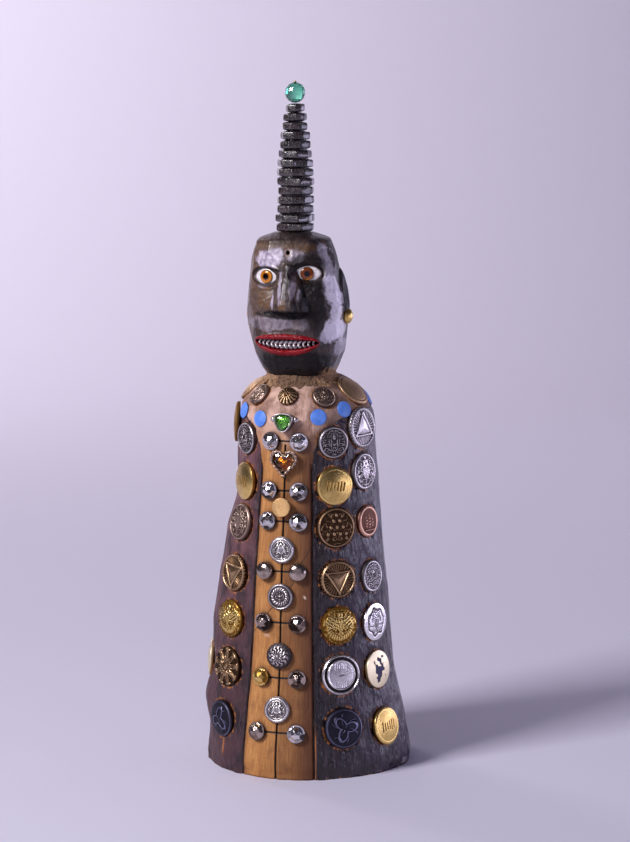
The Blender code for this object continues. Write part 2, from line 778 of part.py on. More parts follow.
def make_lips(collection):
    """A band round the mouth that rises from the face to a ridge near the opening."""
    section = (
        (LIP_WIDTH, LIP_ROOT),
        (LIP_WIDTH, -LIP_HEIGHT * 0.1),
        (LIP_WIDTH * 0.45, -LIP_HEIGHT),
        (-LIP_WIDTH * 0.08, -LIP_HEIGHT * 0.6),
        (-LIP_WIDTH * 0.08, LIP_ROOT),
    )
    rings = []
    for grow, back in section:
        outline = mouth_outline(grow)
        rings.append([face_place(x, height) + Vector((0, back, 0)) for x, height in outline])
    return add_from_bmesh("lips", loft(rings, round_again=True), collection)


def make_mouth_cutter(collection):
    """The mouth's hollow follows the curve of the lips, with a floor of the same curve behind it."""
    outline = mouth_outline(0.0)
    front = [face_place(x, height) - Vector((0, CUTTER_MARGIN, 0)) for x, height in outline]
    floor = [face_place(x * 0.97, height) + Vector((0, MOUTH_DEPTH, 0)) for x, height in outline]
    return add_from_bmesh("mouth_cutter", loft([floor, front]), collection)


def make_hollow_cutter(collection):
    """The almond hollows of the eyes, whose upper edges are the brow's."""
    shape = bmesh.new()
    size = Matrix.Diagonal((EYE_CUT_HALF_LENGTH, EYE_CUT_HALF_HEIGHT, EYE_CUT_ROUNDING, 1.0))
    for side in (-1, 1):
        frame = eye_seat(side, EYE_CUT_DEPTH - EYE_CUT_ROUNDING)
        bmesh.ops.create_uvsphere(shape, u_segments=10, v_segments=6, radius=1.0, matrix=frame @ size)
    return add_from_bmesh("hollow_cutter", shape, collection)


def make_socket_cutter(collection):
    """Seats of the eyes and earrings."""
    shape = bmesh.new()
    for side in (-1, 1):
        cuts = (
            (eye_seat(side, EYE_SEAT), EYE_RADIUS, EYE_SEAT),
            (earring_seat(side, EARRING_SEAT), EARRING_RADIUS, EARRING_SEAT),
        )
        for frame, radius, depth in cuts:
            reach = depth + CUTTER_MARGIN
            around = radius + CLEARANCE / math.cos(math.pi / SMALL_BUTTON_SIDES)
            bmesh.ops.create_cone(
                shape,
                cap_ends=True,
                segments=SMALL_BUTTON_SIDES,
                radius1=around,
                radius2=around,
                depth=reach,
                matrix=frame @ Matrix.Translation((0, 0, reach / 2)),
            )
    return add_from_bmesh("socket_cutter", shape, collection)


def make_head(parts, cutters, material):
    heights = [share for share, _ in HEAD_PROFILE]
    turns = np.arange(HEAD_SIDES) * 360 / HEAD_SIDES - 180
    rings = [[head_point(turn, height) for turn in turns] for height in heights]
    head = add_from_bmesh("head", loft(rings), parts, material)
    shade_by_angle(head, 40)
    additions = [make_nose(cutters), make_lips(cutters), make_ear(-1, cutters), make_ear(1, cutters)]
    removals = [make_mouth_cutter(cutters), make_hollow_cutter(cutters), make_socket_cutter(cutters)]
    for obj in (head, *additions, *removals):
        obj.matrix_world = head_frame() @ obj.matrix_world
    for cutter in additions:
        add_boolean(head, cutter, "UNION", own_overlaps=cutter.name == "lips")
    for cutter in removals:
        add_boolean(head, cutter, "DIFFERENCE", own_overlaps=cutter.name == "mouth_cutter")
    for cutter in (*additions, *removals):
        hide_cutter(cutter)


def make_eyes(parts, material):
    profile = (
        (0.0, EYE_THICKNESS),
        (EYE_RADIUS * 0.6, EYE_THICKNESS - (EYE_THICKNESS - EYE_EDGE) * 0.3),
        (EYE_RADIUS, EYE_EDGE),
        (EYE_RADIUS, 0.0),
        (0.0, 0.0),
    )
    for side in (-1, 1):
        frame = head_frame() @ eye_seat(side, EYE_SEAT - CLEARANCE)
        turn_profile(f"eye_{mirrored_name(side)}", profile, frame, SMALL_BUTTON_SIDES, parts, material)


def make_earrings(parts, material):
    profile = (
        (0.0, EARRING_SEAT + EARRING_HEIGHT),
        (EARRING_RADIUS * 0.65, EARRING_SEAT + EARRING_HEIGHT * 0.7),
        (EARRING_RADIUS, EARRING_SEAT * 0.8),
        (EARRING_RADIUS, 0.0),
        (0.0, 0.0),
    )
    for side in (-1, 1):
        frame = head_frame() @ earring_seat(side, EARRING_SEAT - CLEARANCE)
        turn_profile(f"earring_{mirrored_name(side)}", profile, frame, SMALL_BUTTON_SIDES, parts, material)


def tooth_row(side):
    """One row of beads as a string along the mouth: thick at each bead and thin where two beads touch."""
    rings = []
    span = MOUTH_HALF_WIDTH * TEETH_SPAN
    stations = 2 * TEETH_IN_ROW + 1
    for k in range(stations):
        x = span * (2 * k / (stations - 1) - 1)
        closing = 1 - (x / MOUTH_HALF_WIDTH) ** 2
        bead = TOOTH_RADIUS * (0.45 + 0.55 * closing)
        radius = bead if k % 2 else bead * TOOTH_NECK
        if k in (0, stations - 1):
            radius = bead * TOOTH_NECK * 0.5
        drop = MOUTH_DROP * closing
        middle = face_place(x + MOUTH_X, MOUTH_HEIGHT - drop / HEAD_HEIGHT)
        middle += Vector((0, MOUTH_DEPTH * 0.45, side * bead * 0.74))
        turns = [2 * math.pi * j / TOOTH_SIDES for j in range(TOOTH_SIDES)]
        rings.append([middle + Vector((0, radius * math.cos(t), radius * math.sin(t))) for t in turns])
    return loft(rings)


def make_teeth(parts, cutters, material):
    teeth = add_from_bmesh("teeth", tooth_row(-1), parts, material)
    upper = add_from_bmesh("upper_teeth", tooth_row(1), cutters)
    hide_cutter(upper)
    for obj in (teeth, upper):
        obj.matrix_world = head_frame()
    add_boolean(teeth, upper, "UNION")


def headdress_frame():
    frame = head_frame() @ Matrix.Translation((HEAD_LEAN + HEADDRESS_X, HEADDRESS_Y, HEAD_HEIGHT + CLEARANCE))
    return frame


def ring_radius(place):
    """Radius of a ring, counted from the foot: nearly straight below and rounded in at the top."""
    share = place / (RING_COUNT - 1)
    return RING_TOP_RADIUS + (RING_FOOT_RADIUS - RING_TOP_RADIUS) * (1 - share**RING_TAPER_POWER)


def make_headdress(parts, material):
    """Each ring is a band with bevelled edges above a notch. The pin's hole opens in the top."""
    top = RING_COUNT * RING_PITCH
    hole = PIN_RADIUS + CLEARANCE
    profile = [(0.0, top - PIN_DEPTH), (hole, top - PIN_DEPTH), (hole, top)]
    for place in reversed(range(RING_COUNT)):
        radius = ring_radius(place)
        foot = place * RING_PITCH
        neck = radius - RING_NOTCH
        if place == RING_COUNT - 1:
            profile.append((neck, top))
        profile.append((radius, foot + RING_PITCH * 0.68))
        profile.append((radius, foot + RING_PITCH * 0.36))
        profile.append((neck, foot))
    profile.append((0.0, 0.0))
    turn_profile("headdress", profile, headdress_frame(), RING_SIDES, parts, material, smooth=False)


def make_bead(parts, material):
    """The glass bead with the pin through it, whose head shows on top and whose shank goes into the wood."""
    frame = headdress_frame() @ Matrix.Translation((0, 0, RING_COUNT * RING_PITCH + CLEARANCE))
    top = 2 * BEAD_RADIUS
    profile = [(0.0, top + PIN_HEAD_HEIGHT), (PIN_HEAD_RADIUS, top + PIN_HEAD_HEIGHT * 0.5)]
    first = math.asin(PIN_HEAD_RADIUS / BEAD_RADIUS)
    last = math.pi - math.asin(PIN_RADIUS / BEAD_RADIUS)
    for turn in np.linspace(first, last, BEAD_ROWS):
        profile.append((BEAD_RADIUS * math.sin(turn), BEAD_RADIUS * (1 + math.cos(turn))))
    pin_foot = -(PIN_DEPTH - CLEARANCE)
    profile += [(PIN_RADIUS, pin_foot), (0.0, pin_foot)]
    turn_profile("crown_bead", profile, frame, BEAD_SIDES, parts, material)


def make_materials():
    """Colours are linear."""
    return {
        "wood": make_material("bare_oiled_wood", (0.36, 0.17, 0.055), 0.5, 0.0),
        "paint": make_material("dark_paint_on_wood", (0.045, 0.035, 0.035), 0.35, 0.0),
        "brass": make_material("gilt_brass", (0.75, 0.48, 0.13), 0.3, 1.0),
        "steel": make_material("nickelled_brass", (0.55, 0.52, 0.48), 0.3, 1.0),
        "bronze": make_material("dark_bronze", (0.22, 0.14, 0.07), 0.4, 1.0),
        "copper": make_material("copper", (0.48, 0.19, 0.10), 0.35, 1.0),
        "blackened": make_material("blackened_metal", (0.04, 0.04, 0.055), 0.4, 1.0),
        "green": make_material("green_glass", (0.10, 0.55, 0.12), 0.05, 0.0),
        "amber": make_material("amber_glass", (0.60, 0.22, 0.02), 0.05, 0.0),
        "sea_green": make_material("sea_green_glass", (0.05, 0.50, 0.28), 0.05, 0.0),
    }


def main():
    clear_scene()
    parts = make_collection("carved_figure")
    cutters = make_collection("cutters")
    materials = make_materials()
    make_robe(parts, cutters, materials["wood"])
    make_column_buttons(parts, materials)
    make_panel_buttons(parts, materials)
    make_yoke_buttons(parts, materials)
    make_studs(parts, materials)
    make_heart(
        "amber", AMBER_HEART_ROW, AMBER_HEART_WIDTH, AMBER_SETTING_THICKNESS, "brass", parts, cutters, materials
    )
    make_heart(
        "green", GREEN_HEART_ROW, GREEN_HEART_WIDTH, GREEN_SETTING_THICKNESS, "blackened", parts, cutters, materials
    )
    make_head(parts, cutters, materials["paint"])
    make_eyes(parts, materials["amber"])
    make_teeth(parts, cutters, materials["steel"])
    make_earrings(parts, materials["brass"])
    make_headdress(parts, materials["paint"])
    make_bead(parts, materials["sea_green"])


main()
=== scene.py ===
# %% [markdown]
# # The looks of a carved totem figure
#
# The figure is a wooden body in a long robe, set with metal buttons, under a painted head with a tall
# ringed headdress. The solid part gives each piece its size and place. This script dresses it: every
# surface is a grid of points worked out with numpy, and every finish is built from nodes.

import functools
import math

import bpy
import numpy as np
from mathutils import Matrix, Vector


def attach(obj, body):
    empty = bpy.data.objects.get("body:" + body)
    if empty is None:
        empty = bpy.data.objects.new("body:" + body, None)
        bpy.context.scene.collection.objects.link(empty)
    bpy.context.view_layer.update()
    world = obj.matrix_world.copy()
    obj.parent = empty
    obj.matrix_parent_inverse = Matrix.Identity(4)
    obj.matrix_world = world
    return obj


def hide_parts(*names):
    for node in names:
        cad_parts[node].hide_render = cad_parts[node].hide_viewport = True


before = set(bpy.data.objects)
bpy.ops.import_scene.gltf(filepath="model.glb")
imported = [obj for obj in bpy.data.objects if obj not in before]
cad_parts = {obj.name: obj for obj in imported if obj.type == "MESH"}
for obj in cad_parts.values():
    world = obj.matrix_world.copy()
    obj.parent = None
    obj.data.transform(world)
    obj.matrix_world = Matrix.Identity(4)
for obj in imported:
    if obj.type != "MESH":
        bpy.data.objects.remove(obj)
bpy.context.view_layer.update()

# %% [markdown]
# Colours are easiest to write as the hex codes of a paint chart. Blender's shaders work with linear
# light, so one function turns a code into it.


# %% Colours
def colour(code):
    """Linear colour of an sRGB hex code. A channel under 0.04045 is divided by 12.92. Above that it is
    (c + 0.055) / 1.055 to the power 2.4."""
    channels = np.array([int(code[k : k + 2], 16) for k in (1, 3, 5)]) / 255
    light = np.where(channels <= 0.04045, channels / 12.92, ((channels + 0.055) / 1.055) ** 2.4)
    return (*light.tolist(), 1.0)


def add(tree, kind, *values, give="", named=None, **settings):
    """Adds a node with its settings and returns its first output, or the one to give. Its inputs come in
    their order or by name: a socket is linked, None is left as it is, and any other value is set."""
    made = tree.nodes.new("ShaderNode" + kind)
    for name, value in settings.items():
        setattr(made, name, value)
    in_order = zip([socket for socket in made.inputs if socket.enabled], values)
    by_name = [(made.inputs[name], value) for name, value in (named or {}).items()]
    for socket, value in [*in_order, *by_name]:
        if isinstance(value, bpy.types.NodeSocket):
            tree.links.new(value, socket)
        elif value is not None:
            socket.default_value = value
    if give:
        return made.outputs[give]
    return next((socket for socket in made.outputs if socket.enabled), made)


def start_finish(name):
    """An empty material, and the add function bound to its tree."""
    finish = bpy.data.materials.new(name)
    finish.use_nodes = True
    finish.node_tree.nodes.clear()
    return finish, functools.partial(add, finish.node_tree)


SMOOTH = {"interpolation_type": "SMOOTHSTEP"}
COLOURS = {"data_type": "RGBA"}
TIMES = {"operation": "MULTIPLY"}
PLUS = {"operation": "ADD"}
MINUS = {"operation": "SUBTRACT"}
LARGEST = {"operation": "MAXIMUM"}
SIZE_ONLY = {"operation": "ABSOLUTE"}


def patches(node, size, stretch=(1, 1, 1), detail=3.0, rough=0.55):
    """Noise whose patches are about size millimetres wide, stretched along X, Y and Z."""
    scale = [1000 / (size * k) for k in stretch]
    place = node("Mapping", node("TexCoord", give="Object"), named={"Scale": scale})
    return node("TexNoise", named={"Vector": place, "Scale": 1.0, "Detail": detail, "Roughness": rough})


def coat_over(node, under, code, pattern, low, high, strength=1.0):
    """Brushes a colour over another: none of it where the pattern is low, its full strength where high."""
    where = node("MapRange", pattern, low, high, 0.0, strength, **SMOOTH)
    return node("Mix", where, under, colour(code), **COLOURS)


print("brick orange in linear light:", np.round(colour("#b06a3c"), 3))

# %% [markdown]
# Every new piece here is one or more grids of points. A grid runs from the top row to the bottom row,
# and each row runs counterclockwise seen from above, so that all faces point outwards. A row whose
# points all meet is a pole and becomes one point. An end row that stays open is closed by one flat face.


# %% Grids to meshes
def weave(rows, first):
    """Faces of one grid whose points are numbered from first: (four-sided, three-sided, end faces)."""
    count, around = rows.shape[:2]
    number = np.arange(count * around).reshape(count, around) + first
    pole = np.ptp(rows, axis=1).max(axis=1) < 1e-8
    number[pole] = number[pole, :1]
    after = np.roll(number, -1, axis=1)
    cells = np.stack([number[:-1], number[1:], after[1:], after[:-1]], axis=-1).reshape(-1, 4)
    from_pole = cells[:, 0] == cells[:, 3]
    to_pole = cells[:, 1] == cells[:, 2]
    fans = np.concatenate([cells[from_pole][:, :3], cells[to_pole][:, [0, 1, 3]]])
    ends = [number[0]] if not pole[0] else []
    ends += [number[-1][::-1]] if not pole[-1] else []
    return cells[~from_pole & ~to_pole], fans, ends


def add_piece(name, grids, finish, marks=None, smooth=True, instead_of=None):
    """A mesh object from grids of points. marks holds, for each name, one array of values a grid."""
    grids = [np.asarray(grid, float) for grid in grids]
    starts = np.cumsum([0] + [grid.shape[0] * grid.shape[1] for grid in grids])
    woven = [weave(grid, start) for grid, start in zip(grids, starts)]
    quads = np.concatenate([cells for cells, _, _ in woven])
    fans = np.concatenate([fan for _, fan, _ in woven])
    ends = [end for _, _, found in woven for end in found]
    corners = np.concatenate([quads.ravel(), fans.ravel(), *ends])
    sizes = np.array([4] * len(quads) + [3] * len(fans) + [len(end) for end in ends])
    used, corners = np.unique(corners, return_inverse=True)
    points = np.concatenate([grid.reshape(-1, 3) for grid in grids])[used]
    mesh = bpy.data.meshes.new(name)
    mesh.vertices.add(len(points))
    mesh.vertices.foreach_set("co", points.ravel())
    mesh.loops.add(len(corners))
    mesh.loops.foreach_set("vertex_index", corners.astype(np.int32))
    mesh.polygons.add(len(sizes))
    mesh.polygons.foreach_set("loop_start", (np.cumsum(sizes) - sizes).astype(np.int32))
    mesh.polygons.foreach_set("use_smooth", np.full(len(sizes), smooth))
    mesh.update(calc_edges=True)
    for mark_name, values in (marks or {}).items():
        held = np.concatenate([np.broadcast_to(v, g.shape[:2]).ravel() for v, g in zip(values, grids)])
        layer = mesh.attributes.new(mark_name, "FLOAT", "POINT")
        layer.data.foreach_set("value", held[used].astype(np.float32))
    mesh.materials.append(finish)
    piece = bpy.data.objects.new(name, mesh)
    bpy.context.scene.collection.objects.link(piece)
    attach(piece, "root")
    if instead_of:
        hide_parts(instead_of)
    triangle_counts[name] = len(quads) * 2 + len(fans) + sum(len(end) - 2 for end in ends)
    return piece


triangle_counts = {}


# %% Curves, humps and noise
def read_curve(points, share):
    """Smooth curve through (share, value) points: cubic pieces whose slopes are those of the points."""
    places, values = np.array(points, float).T
    slopes = np.gradient(values, places)
    share = np.asarray(share, float)
    i = np.clip(np.searchsorted(places, share) - 1, 0, len(places) - 2)
    step = places[i + 1] - places[i]
    u = np.clip((share - places[i]) / step, 0, 1)
    rise = values[i] * (1 + 2 * u) * (1 - u) ** 2 + values[i + 1] * u * u * (3 - 2 * u)
    return rise + step * (slopes[i] * u * (1 - u) ** 2 - slopes[i + 1] * u * u * (1 - u))


def hump(distance, half_spread):
    """Half of 1 + cos(pi d / s): 1 in the middle and 0 from the half spread s outwards."""
    return 0.5 + 0.5 * np.cos(np.pi * np.clip(np.abs(distance) / half_spread, 0, 1))


def step_up(value, low, high):
    """0 below low, 1 above high, and 3u2 - 2u3 between."""
    u = np.clip((value - low) / (high - low), 0, 1)
    return u * u * (3 - 2 * u)


def noise(points, size, seed=0.0):
    """Smooth noise from 0 to 1: each corner of a lattice of the size has a fixed value, blended between."""
    scaled = np.asarray(points, float) / size + seed * 7.31
    cell = np.floor(scaled).astype(np.int64)
    share = scaled - cell
    share = share * share * (3 - 2 * share)
    total = np.zeros(scaled.shape[:-1])
    for corner in np.ndindex(*(2,) * scaled.shape[-1]):
        place = cell + corner
        code = (place * np.array([73856093, 19349663, 83492791])[: place.shape[-1]]).sum(axis=-1)
        code = ((code ^ (code >> 11)) * 1274126177) & 0x7FFFFFFF
        value = ((code ^ (code >> 15)) % 8192) / 8191
        weight = np.where(corner, share, 1 - share).prod(axis=-1)
        total += value * weight
    return total


def stretch_steps(start, stop, fine_places, coarse, fine, reach):
    """Values from start to stop whose spacing is coarse, and fine within reach of the fine places."""
    dense = np.linspace(start, stop, 20001)
    near = np.zeros_like(dense)
    for place in fine_places:
        near = np.maximum(near, hump(dense - place, reach * 2) ** 0.5)
    spacing = coarse + (fine - coarse) * near
    travelled = np.concatenate([[0], np.cumsum(np.diff(dense) / spacing[1:])])
    count = int(np.ceil(travelled[-1])) + 1
    return np.interp(np.linspace(0, travelled[-1], count), travelled, dense)


sample = noise(np.random.default_rng(1).random((1000, 3)), 0.1)
print("noise runs from", round(float(sample.min()), 2), "to", round(float(sample.max()), 2))

# %% [markdown]
# ## The robe's surface
#
# The body is one block, round in plan, narrower towards the shoulders, with a swell on its left that
# follows the shape of the log. A point is given by an angle from the front and a share of the height.
# The values are those of the solid part, so that each button's seat is where the solid has it.

# %% The robe's surface
ROBE_HEIGHT = 0.238
HEM_RADIUS = 0.0615
ROBE_PROFILE = (
    (0, 1), (0.07, 0.975), (0.16, 0.922), (0.23, 0.880), (0.32, 0.843), (0.42, 0.815), (0.52, 0.785),
    (0.62, 0.745), (0.73, 0.705), (0.83, 0.675), (0.90, 0.655), (0.94, 0.615), (0.97, 0.53),
    (0.99, 0.43), (1, 0.36),
)  # fmt: skip
SWELL_PROFILE = (
    (0, 0), (0.10, 0.20), (0.16, 1), (0.22, 0.88), (0.38, 1), (0.52, 0.66), (0.62, 0.34),
    (0.69, -0.15), (0.80, 0.05), (0.90, 0.25), (1, 0),
)  # fmt: skip
SWELL_DEPTH = 0.0066
SWELL_ANGLE = -76
FLARE_DEPTH = 0.0034
FLARE_ANGLE = 100
FLARE_TOP = 0.30
SIDE_SPREAD = 62


def robe_surface(angle, height):
    """Radius = hem radius x profile + swell x its hump + flare x its hump, turned round the Z axis."""
    angle, height = np.broadcast_arrays(np.asarray(angle, float), np.asarray(height, float))
    away = (angle - SWELL_ANGLE + 180) % 360 - 180
    radius = HEM_RADIUS * read_curve(ROBE_PROFILE, height)
    radius = radius + SWELL_DEPTH * read_curve(SWELL_PROFILE, height) * hump(away, SIDE_SPREAD)
    away = (angle - FLARE_ANGLE + 180) % 360 - 180
    flare = hump(np.maximum(height, 0), FLARE_TOP) * hump(away, SIDE_SPREAD)
    radius = radius + FLARE_DEPTH * flare
    turn = np.radians(angle)
    return np.stack([radius * np.sin(turn), -radius * np.cos(turn), height * ROBE_HEIGHT], axis=-1)


def unit(vector):
    return vector / np.linalg.norm(vector, axis=-1, keepdims=True)


def seat_frame(place, outward, sunk):
    """Matrix of a seat: Z out of the wood, X level, and the origin sunk under the surface."""
    out = unit(outward)
    side = unit(np.cross((0.0, 0.0, 1.0), out))
    seat = np.eye(4)
    seat[:3, :3] = np.stack([side, np.cross(out, side), out], axis=1)
    seat[:3, 3] = place - out * sunk
    return seat


def robe_seat(angle, height, sunk=0.0):
    across = robe_surface(angle + 1, height) - robe_surface(angle - 1, height)
    along = robe_surface(angle, height + 0.01) - robe_surface(angle, height - 0.01)
    return seat_frame(robe_surface(angle, height), np.cross(across, along), sunk)


def put(points, seat):
    """Points moved from a seat's frame into the figure's."""
    return np.asarray(points) @ seat[:3, :3].T + seat[:3, 3]


print("hem is", round(float(np.ptp(robe_surface(np.arange(360), 0.0)[:, 0])) * 1000, 1), "mm wide")

# %% [markdown]
# ## Where the buttons sit
#
# Two columns of buttons run down each side of the tan front panel, with pairs of faceted studs on it.
# The tables below give each row as a share of the robe's height, from the hem up.

# %% Places of the buttons
CLEARANCE = 0.0003
PANEL_TURN = 0.8
PANEL_HALF_ANGLE = 22
YOKE_LINE = (
    (22, 0.78), (24, 0.83), (32, 0.875), (46, 0.905), (70, 0.925), (110, 0.92), (145, 0.912), (180, 0.91),
)  # fmt: skip
CENTRE_LINE_TOP = 0.845
BUTTON_SEAT = 0.0013
BUTTON_EDGE = 0.0020
STUD_ROWS = (0.118, 0.255, 0.395, 0.525, 0.651, 0.728, 0.853)
STUD_HALF_ANGLE = 12
STUD_RADIUS = 0.0054
STUD_HEIGHT = 0.0052
INNER_ROWS = (0.128, 0.262, 0.387, 0.505, 0.635, 0.740, 0.850)
OUTER_ROWS = (0.115, 0.260, 0.382, 0.500, 0.640, 0.768, 0.880)
INNER_ANGLE = 41.5
OUTER_ANGLE = 72.5
GREAT, LARGE, MIDDLE = 0.0123, 0.0114, 0.0098
RIGHT_INNER_RADII = (GREAT, GREAT, LARGE, LARGE, GREAT, LARGE, MIDDLE)
OUTER_RADII = (LARGE, LARGE, LARGE, MIDDLE, MIDDLE, LARGE, GREAT)
LEFT_INNER_RADII = (LARGE, GREAT, LARGE, LARGE, LARGE, LARGE, MIDDLE)
CENTRE_ROWS = (0.176, 0.312, 0.462, 0.580)
SMALL_RADIUS = 0.0080
DISC_ROW = 0.688
DISC_RADIUS = 0.0057
YOKE_BUTTON_RADIUS = 0.0072
DAISY_RADIUS = 0.0060
YOKE_BUTTON_ROW = 0.962
YOKE_BUTTON_ANGLE = 36.5
SHOULDER_RADIUS = 0.0111
SHOULDER_SEAT = 0.0026
SHOULDER_ROW = 0.972
SHOULDER_ANGLE = 80
TACKS = ((-103, 0.945), (-50, 0.918), (-25, 0.905), (29, 0.914), (54, 0.930), (103, 0.945))
TACK_RADIUS = 0.0049

LEFT_OUTER_SOLIDS = (2, 7)
# Five of the left outer column stand farther round the side, behind the swell.
LEFT_OUTER_ANGLES = [-OUTER_ANGLE if place in LEFT_OUTER_SOLIDS else -101.0 for place in range(1, 8)]

sockets = []
for side, inner_radii in ((-1, LEFT_INNER_RADII), (1, RIGHT_INNER_RADII)):
    outer_angles = LEFT_OUTER_ANGLES if side < 0 else [OUTER_ANGLE] * 7
    sockets += [(side * INNER_ANGLE, row, radius) for row, radius in zip(INNER_ROWS, inner_radii)]
    sockets += list(zip(outer_angles, OUTER_ROWS, OUTER_RADII))
    sockets += [(side * YOKE_BUTTON_ANGLE, YOKE_BUTTON_ROW, YOKE_BUTTON_RADIUS)]
    sockets += [(side * SHOULDER_ANGLE, SHOULDER_ROW, SHOULDER_RADIUS)]
print(len(sockets), "sockets are cut for buttons")

# %% [markdown]
# ## The body's carving
#
# The robe is carved from one log, so its grooves, its worn hem and the chips round each button are
# moves of one surface. The grid is finer where a groove runs. For the paint, the mesh carries marks:
# how far a point is, in millimetres, from the panel's border, from the nearest button and from a crack.

# %% The robe's grid
border_angles = (PANEL_TURN - PANEL_HALF_ANGLE, PANEL_TURN, PANEL_TURN + PANEL_HALF_ANGLE)
columns = stretch_steps(-180, 180, border_angles, 1.42, 0.30, 1.4)[:-1]
levels = stretch_steps(-0.001, 1.0, STUD_ROWS, 0.0062, 0.0017, 0.006)[::-1]
levels[-1] = 0.0
levels[0] = 1.0
angle, height = np.meshgrid(columns, levels)
robe = robe_surface(angle, height)
turned = angle - PANEL_TURN
mm_a_degree = np.hypot(robe[..., 0], robe[..., 1]) * math.radians(1) * 1000
print("robe grid:", robe.shape[:2])

# %% Marks on the robe
yoke_angles, yoke_heights = zip(*YOKE_LINE)
side_gap = (PANEL_HALF_ANGLE - np.abs(turned)) * mm_a_degree
above_yoke = (height - np.interp(np.abs(turned), yoke_angles, yoke_heights)) * ROBE_HEIGHT * 1000
edge_wander = (noise(robe, 0.011, 3) - 0.5) * 1.1
tan = np.where(height > YOKE_LINE[0][1], np.maximum(side_gap, above_yoke), side_gap) + edge_wander * 0.6
centre_gap = np.abs(turned) * mm_a_degree + np.where(height > CENTRE_LINE_TOP, 9.0, 0.0)

FAR_AWAY = 40.0
socket_gap = np.full(robe.shape[:2], FAR_AWAY)
for at_angle, row, radius in sockets:
    seat = robe_seat(at_angle, row)
    local = (robe - seat[:3, 3]) @ seat[:3, :3]
    gap = np.hypot(local[..., 0], local[..., 1]) - radius
    gap = np.where(np.abs(local[..., 2]) < 0.012, gap, 0.04) * 1000
    socket_gap = np.minimum(socket_gap, gap)

stud_gap = np.full(robe.shape[:2], FAR_AWAY)
cut_gap = np.full(robe.shape[:2], FAR_AWAY)
for row in STUD_ROWS:
    off = (height - row) * ROBE_HEIGHT * 1000
    along = np.maximum(np.abs(turned) * mm_a_degree - STUD_HALF_ANGLE * mm_a_degree * 0.8, 0)
    cut_gap = np.minimum(cut_gap, np.hypot(off, along * 3))
    for side in (-1, 1):
        gap = np.hypot(off, (turned - side * STUD_HALF_ANGLE) * mm_a_degree) - STUD_RADIUS * 1000
        stud_gap = np.minimum(stud_gap, gap)
print("points within 1 mm of a groove:", int((np.minimum(centre_gap, cut_gap) < 1).sum()))


# %% Cracks
def off_line(along, up, line):
    """Millimetres to the right of a line that climbs through (along, up) places. Beyond its ends the
    value grows four times as fast for each millimetre, so that the line tapers off."""
    places, heights = np.array(line, float).T
    beyond = np.maximum(np.maximum(heights[0] - up, up - heights[-1]), 0)
    return (along - np.interp(up, heights, places)) * (1 + 3 * beyond)


laid = turned * mm_a_degree
up = height * ROBE_HEIGHT * 1000
wander = (noise(robe, 0.005, 8) - 0.5) * 1.4
front_crack = off_line(laid + wander, up, ((-20, 86), (-12.6, 94.5), (6.6, 117.3), (11, 129.5), (20, 143)))
left_split = off_line(laid + wander * 0.4, up, ((-43.5, 19), (-43, 30), (-44.5, 44)))
back_split = off_line((angle - 158) * mm_a_degree + wander, up, ((0, 0), (6, 40), (2, 80), (5, 118)))
crack_gap = np.minimum(np.abs(front_crack), np.minimum(np.abs(left_split), np.abs(back_split)))
pale_spots = step_up(0.9 - np.hypot(laid - 14.6, up - 110), 0, 0.4)
chip_away = np.hypot((laid + 8.7) / 2.0, (up - 86.2) / 0.9)
pale_spots = np.maximum(pale_spots, 0.4 * step_up(1.2 - chip_away, 0, 0.4))

# %% Carve the robe
across = unit(np.roll(robe, -1, axis=1) - np.roll(robe, 1, axis=1))
upward = unit(np.gradient(robe, axis=0))
outward = unit(np.cross(across, -upward))
v_groove = np.clip(1 - np.abs(side_gap + edge_wander * 0.3) / 1.0, 0, 1) * (height < 0.80)
yoke_groove = np.clip(1 - np.abs(tan) / 0.9, 0, 1) * (height >= 0.78) * 0.55
centre_groove = np.clip(1 - centre_gap / 0.70, 0, 1)
carved = -0.0013 * np.maximum(v_groove, yoke_groove)
carved += -0.0015 * centre_groove + 0.00035 * hump(turned * mm_a_degree - 1.6, 1.1) * (centre_gap < 5)
carved += -0.0010 * np.clip(1 - cut_gap / 0.60, 0, 1) * (np.abs(turned) < 14)
tool_cuts = noise(robe * (1, 1, 0.35), 0.0085, 5) - 0.5
carved += 0.0007 * tool_cuts + 0.0011 * (noise(robe * (1, 1, 0.5), 0.028, 6) - 0.5)
side_cuts = noise(robe * (1, 1, 0.45), 0.0045, 17) - 0.5
carved += 0.0011 * side_cuts * step_up(-tan, 1.0, 4.0) * step_up(socket_gap, 0.5, 3.0)
chips = step_up(noise(robe, 0.0032, 9), 0.50, 0.70) * step_up(2.2 - socket_gap, 0, 1.6)
carved += -0.0007 * chips * step_up(socket_gap, -1.0, 0.3)
carved += -0.0011 * step_up(0.2 - socket_gap, 0, 0.9)
hem = step_up(4.2 - up + 4.5 * noise(robe, 0.007, 11), 0, 4.0)
carved += -0.0016 * hem * noise(robe, 0.004, 12)
notch = hump(angle + 86, 9) * hump(up - 40, 4.5)
carved += -0.0018 * notch
carved += -0.0005 * np.clip(1 - crack_gap / 0.6, 0, 1)
neck_rise = step_up(height, 0.975, 1.0)
carved = carved * (1 - neck_rise)
robe = robe + outward * carved[..., None]
robe[-1, :, 2] = 0.0
print("deepest cut", round(-float(carved.min()) * 1000, 2), "mm")

# %% The robe's top and underside
top_rings = robe[0] * np.array([1, 1, 0]) * np.array([0.0, 0.5, 0.85])[:, None, None]
top_rings[..., 2] = ROBE_HEIGHT
foot_rings = robe[-1] * np.array([1, 1, 0]) * np.array([0.985, 0.8, 0.5, 0.2, 0.0])[:, None, None]
foot_rings[..., 2] = np.array([0.0006, 0.0008, 0.0006, 0.0008, 0.0008])[:, None] * (
    0.5 + noise(foot_rings, 0.02, 2)
)
robe_grid = np.concatenate([top_rings, robe, foot_rings])


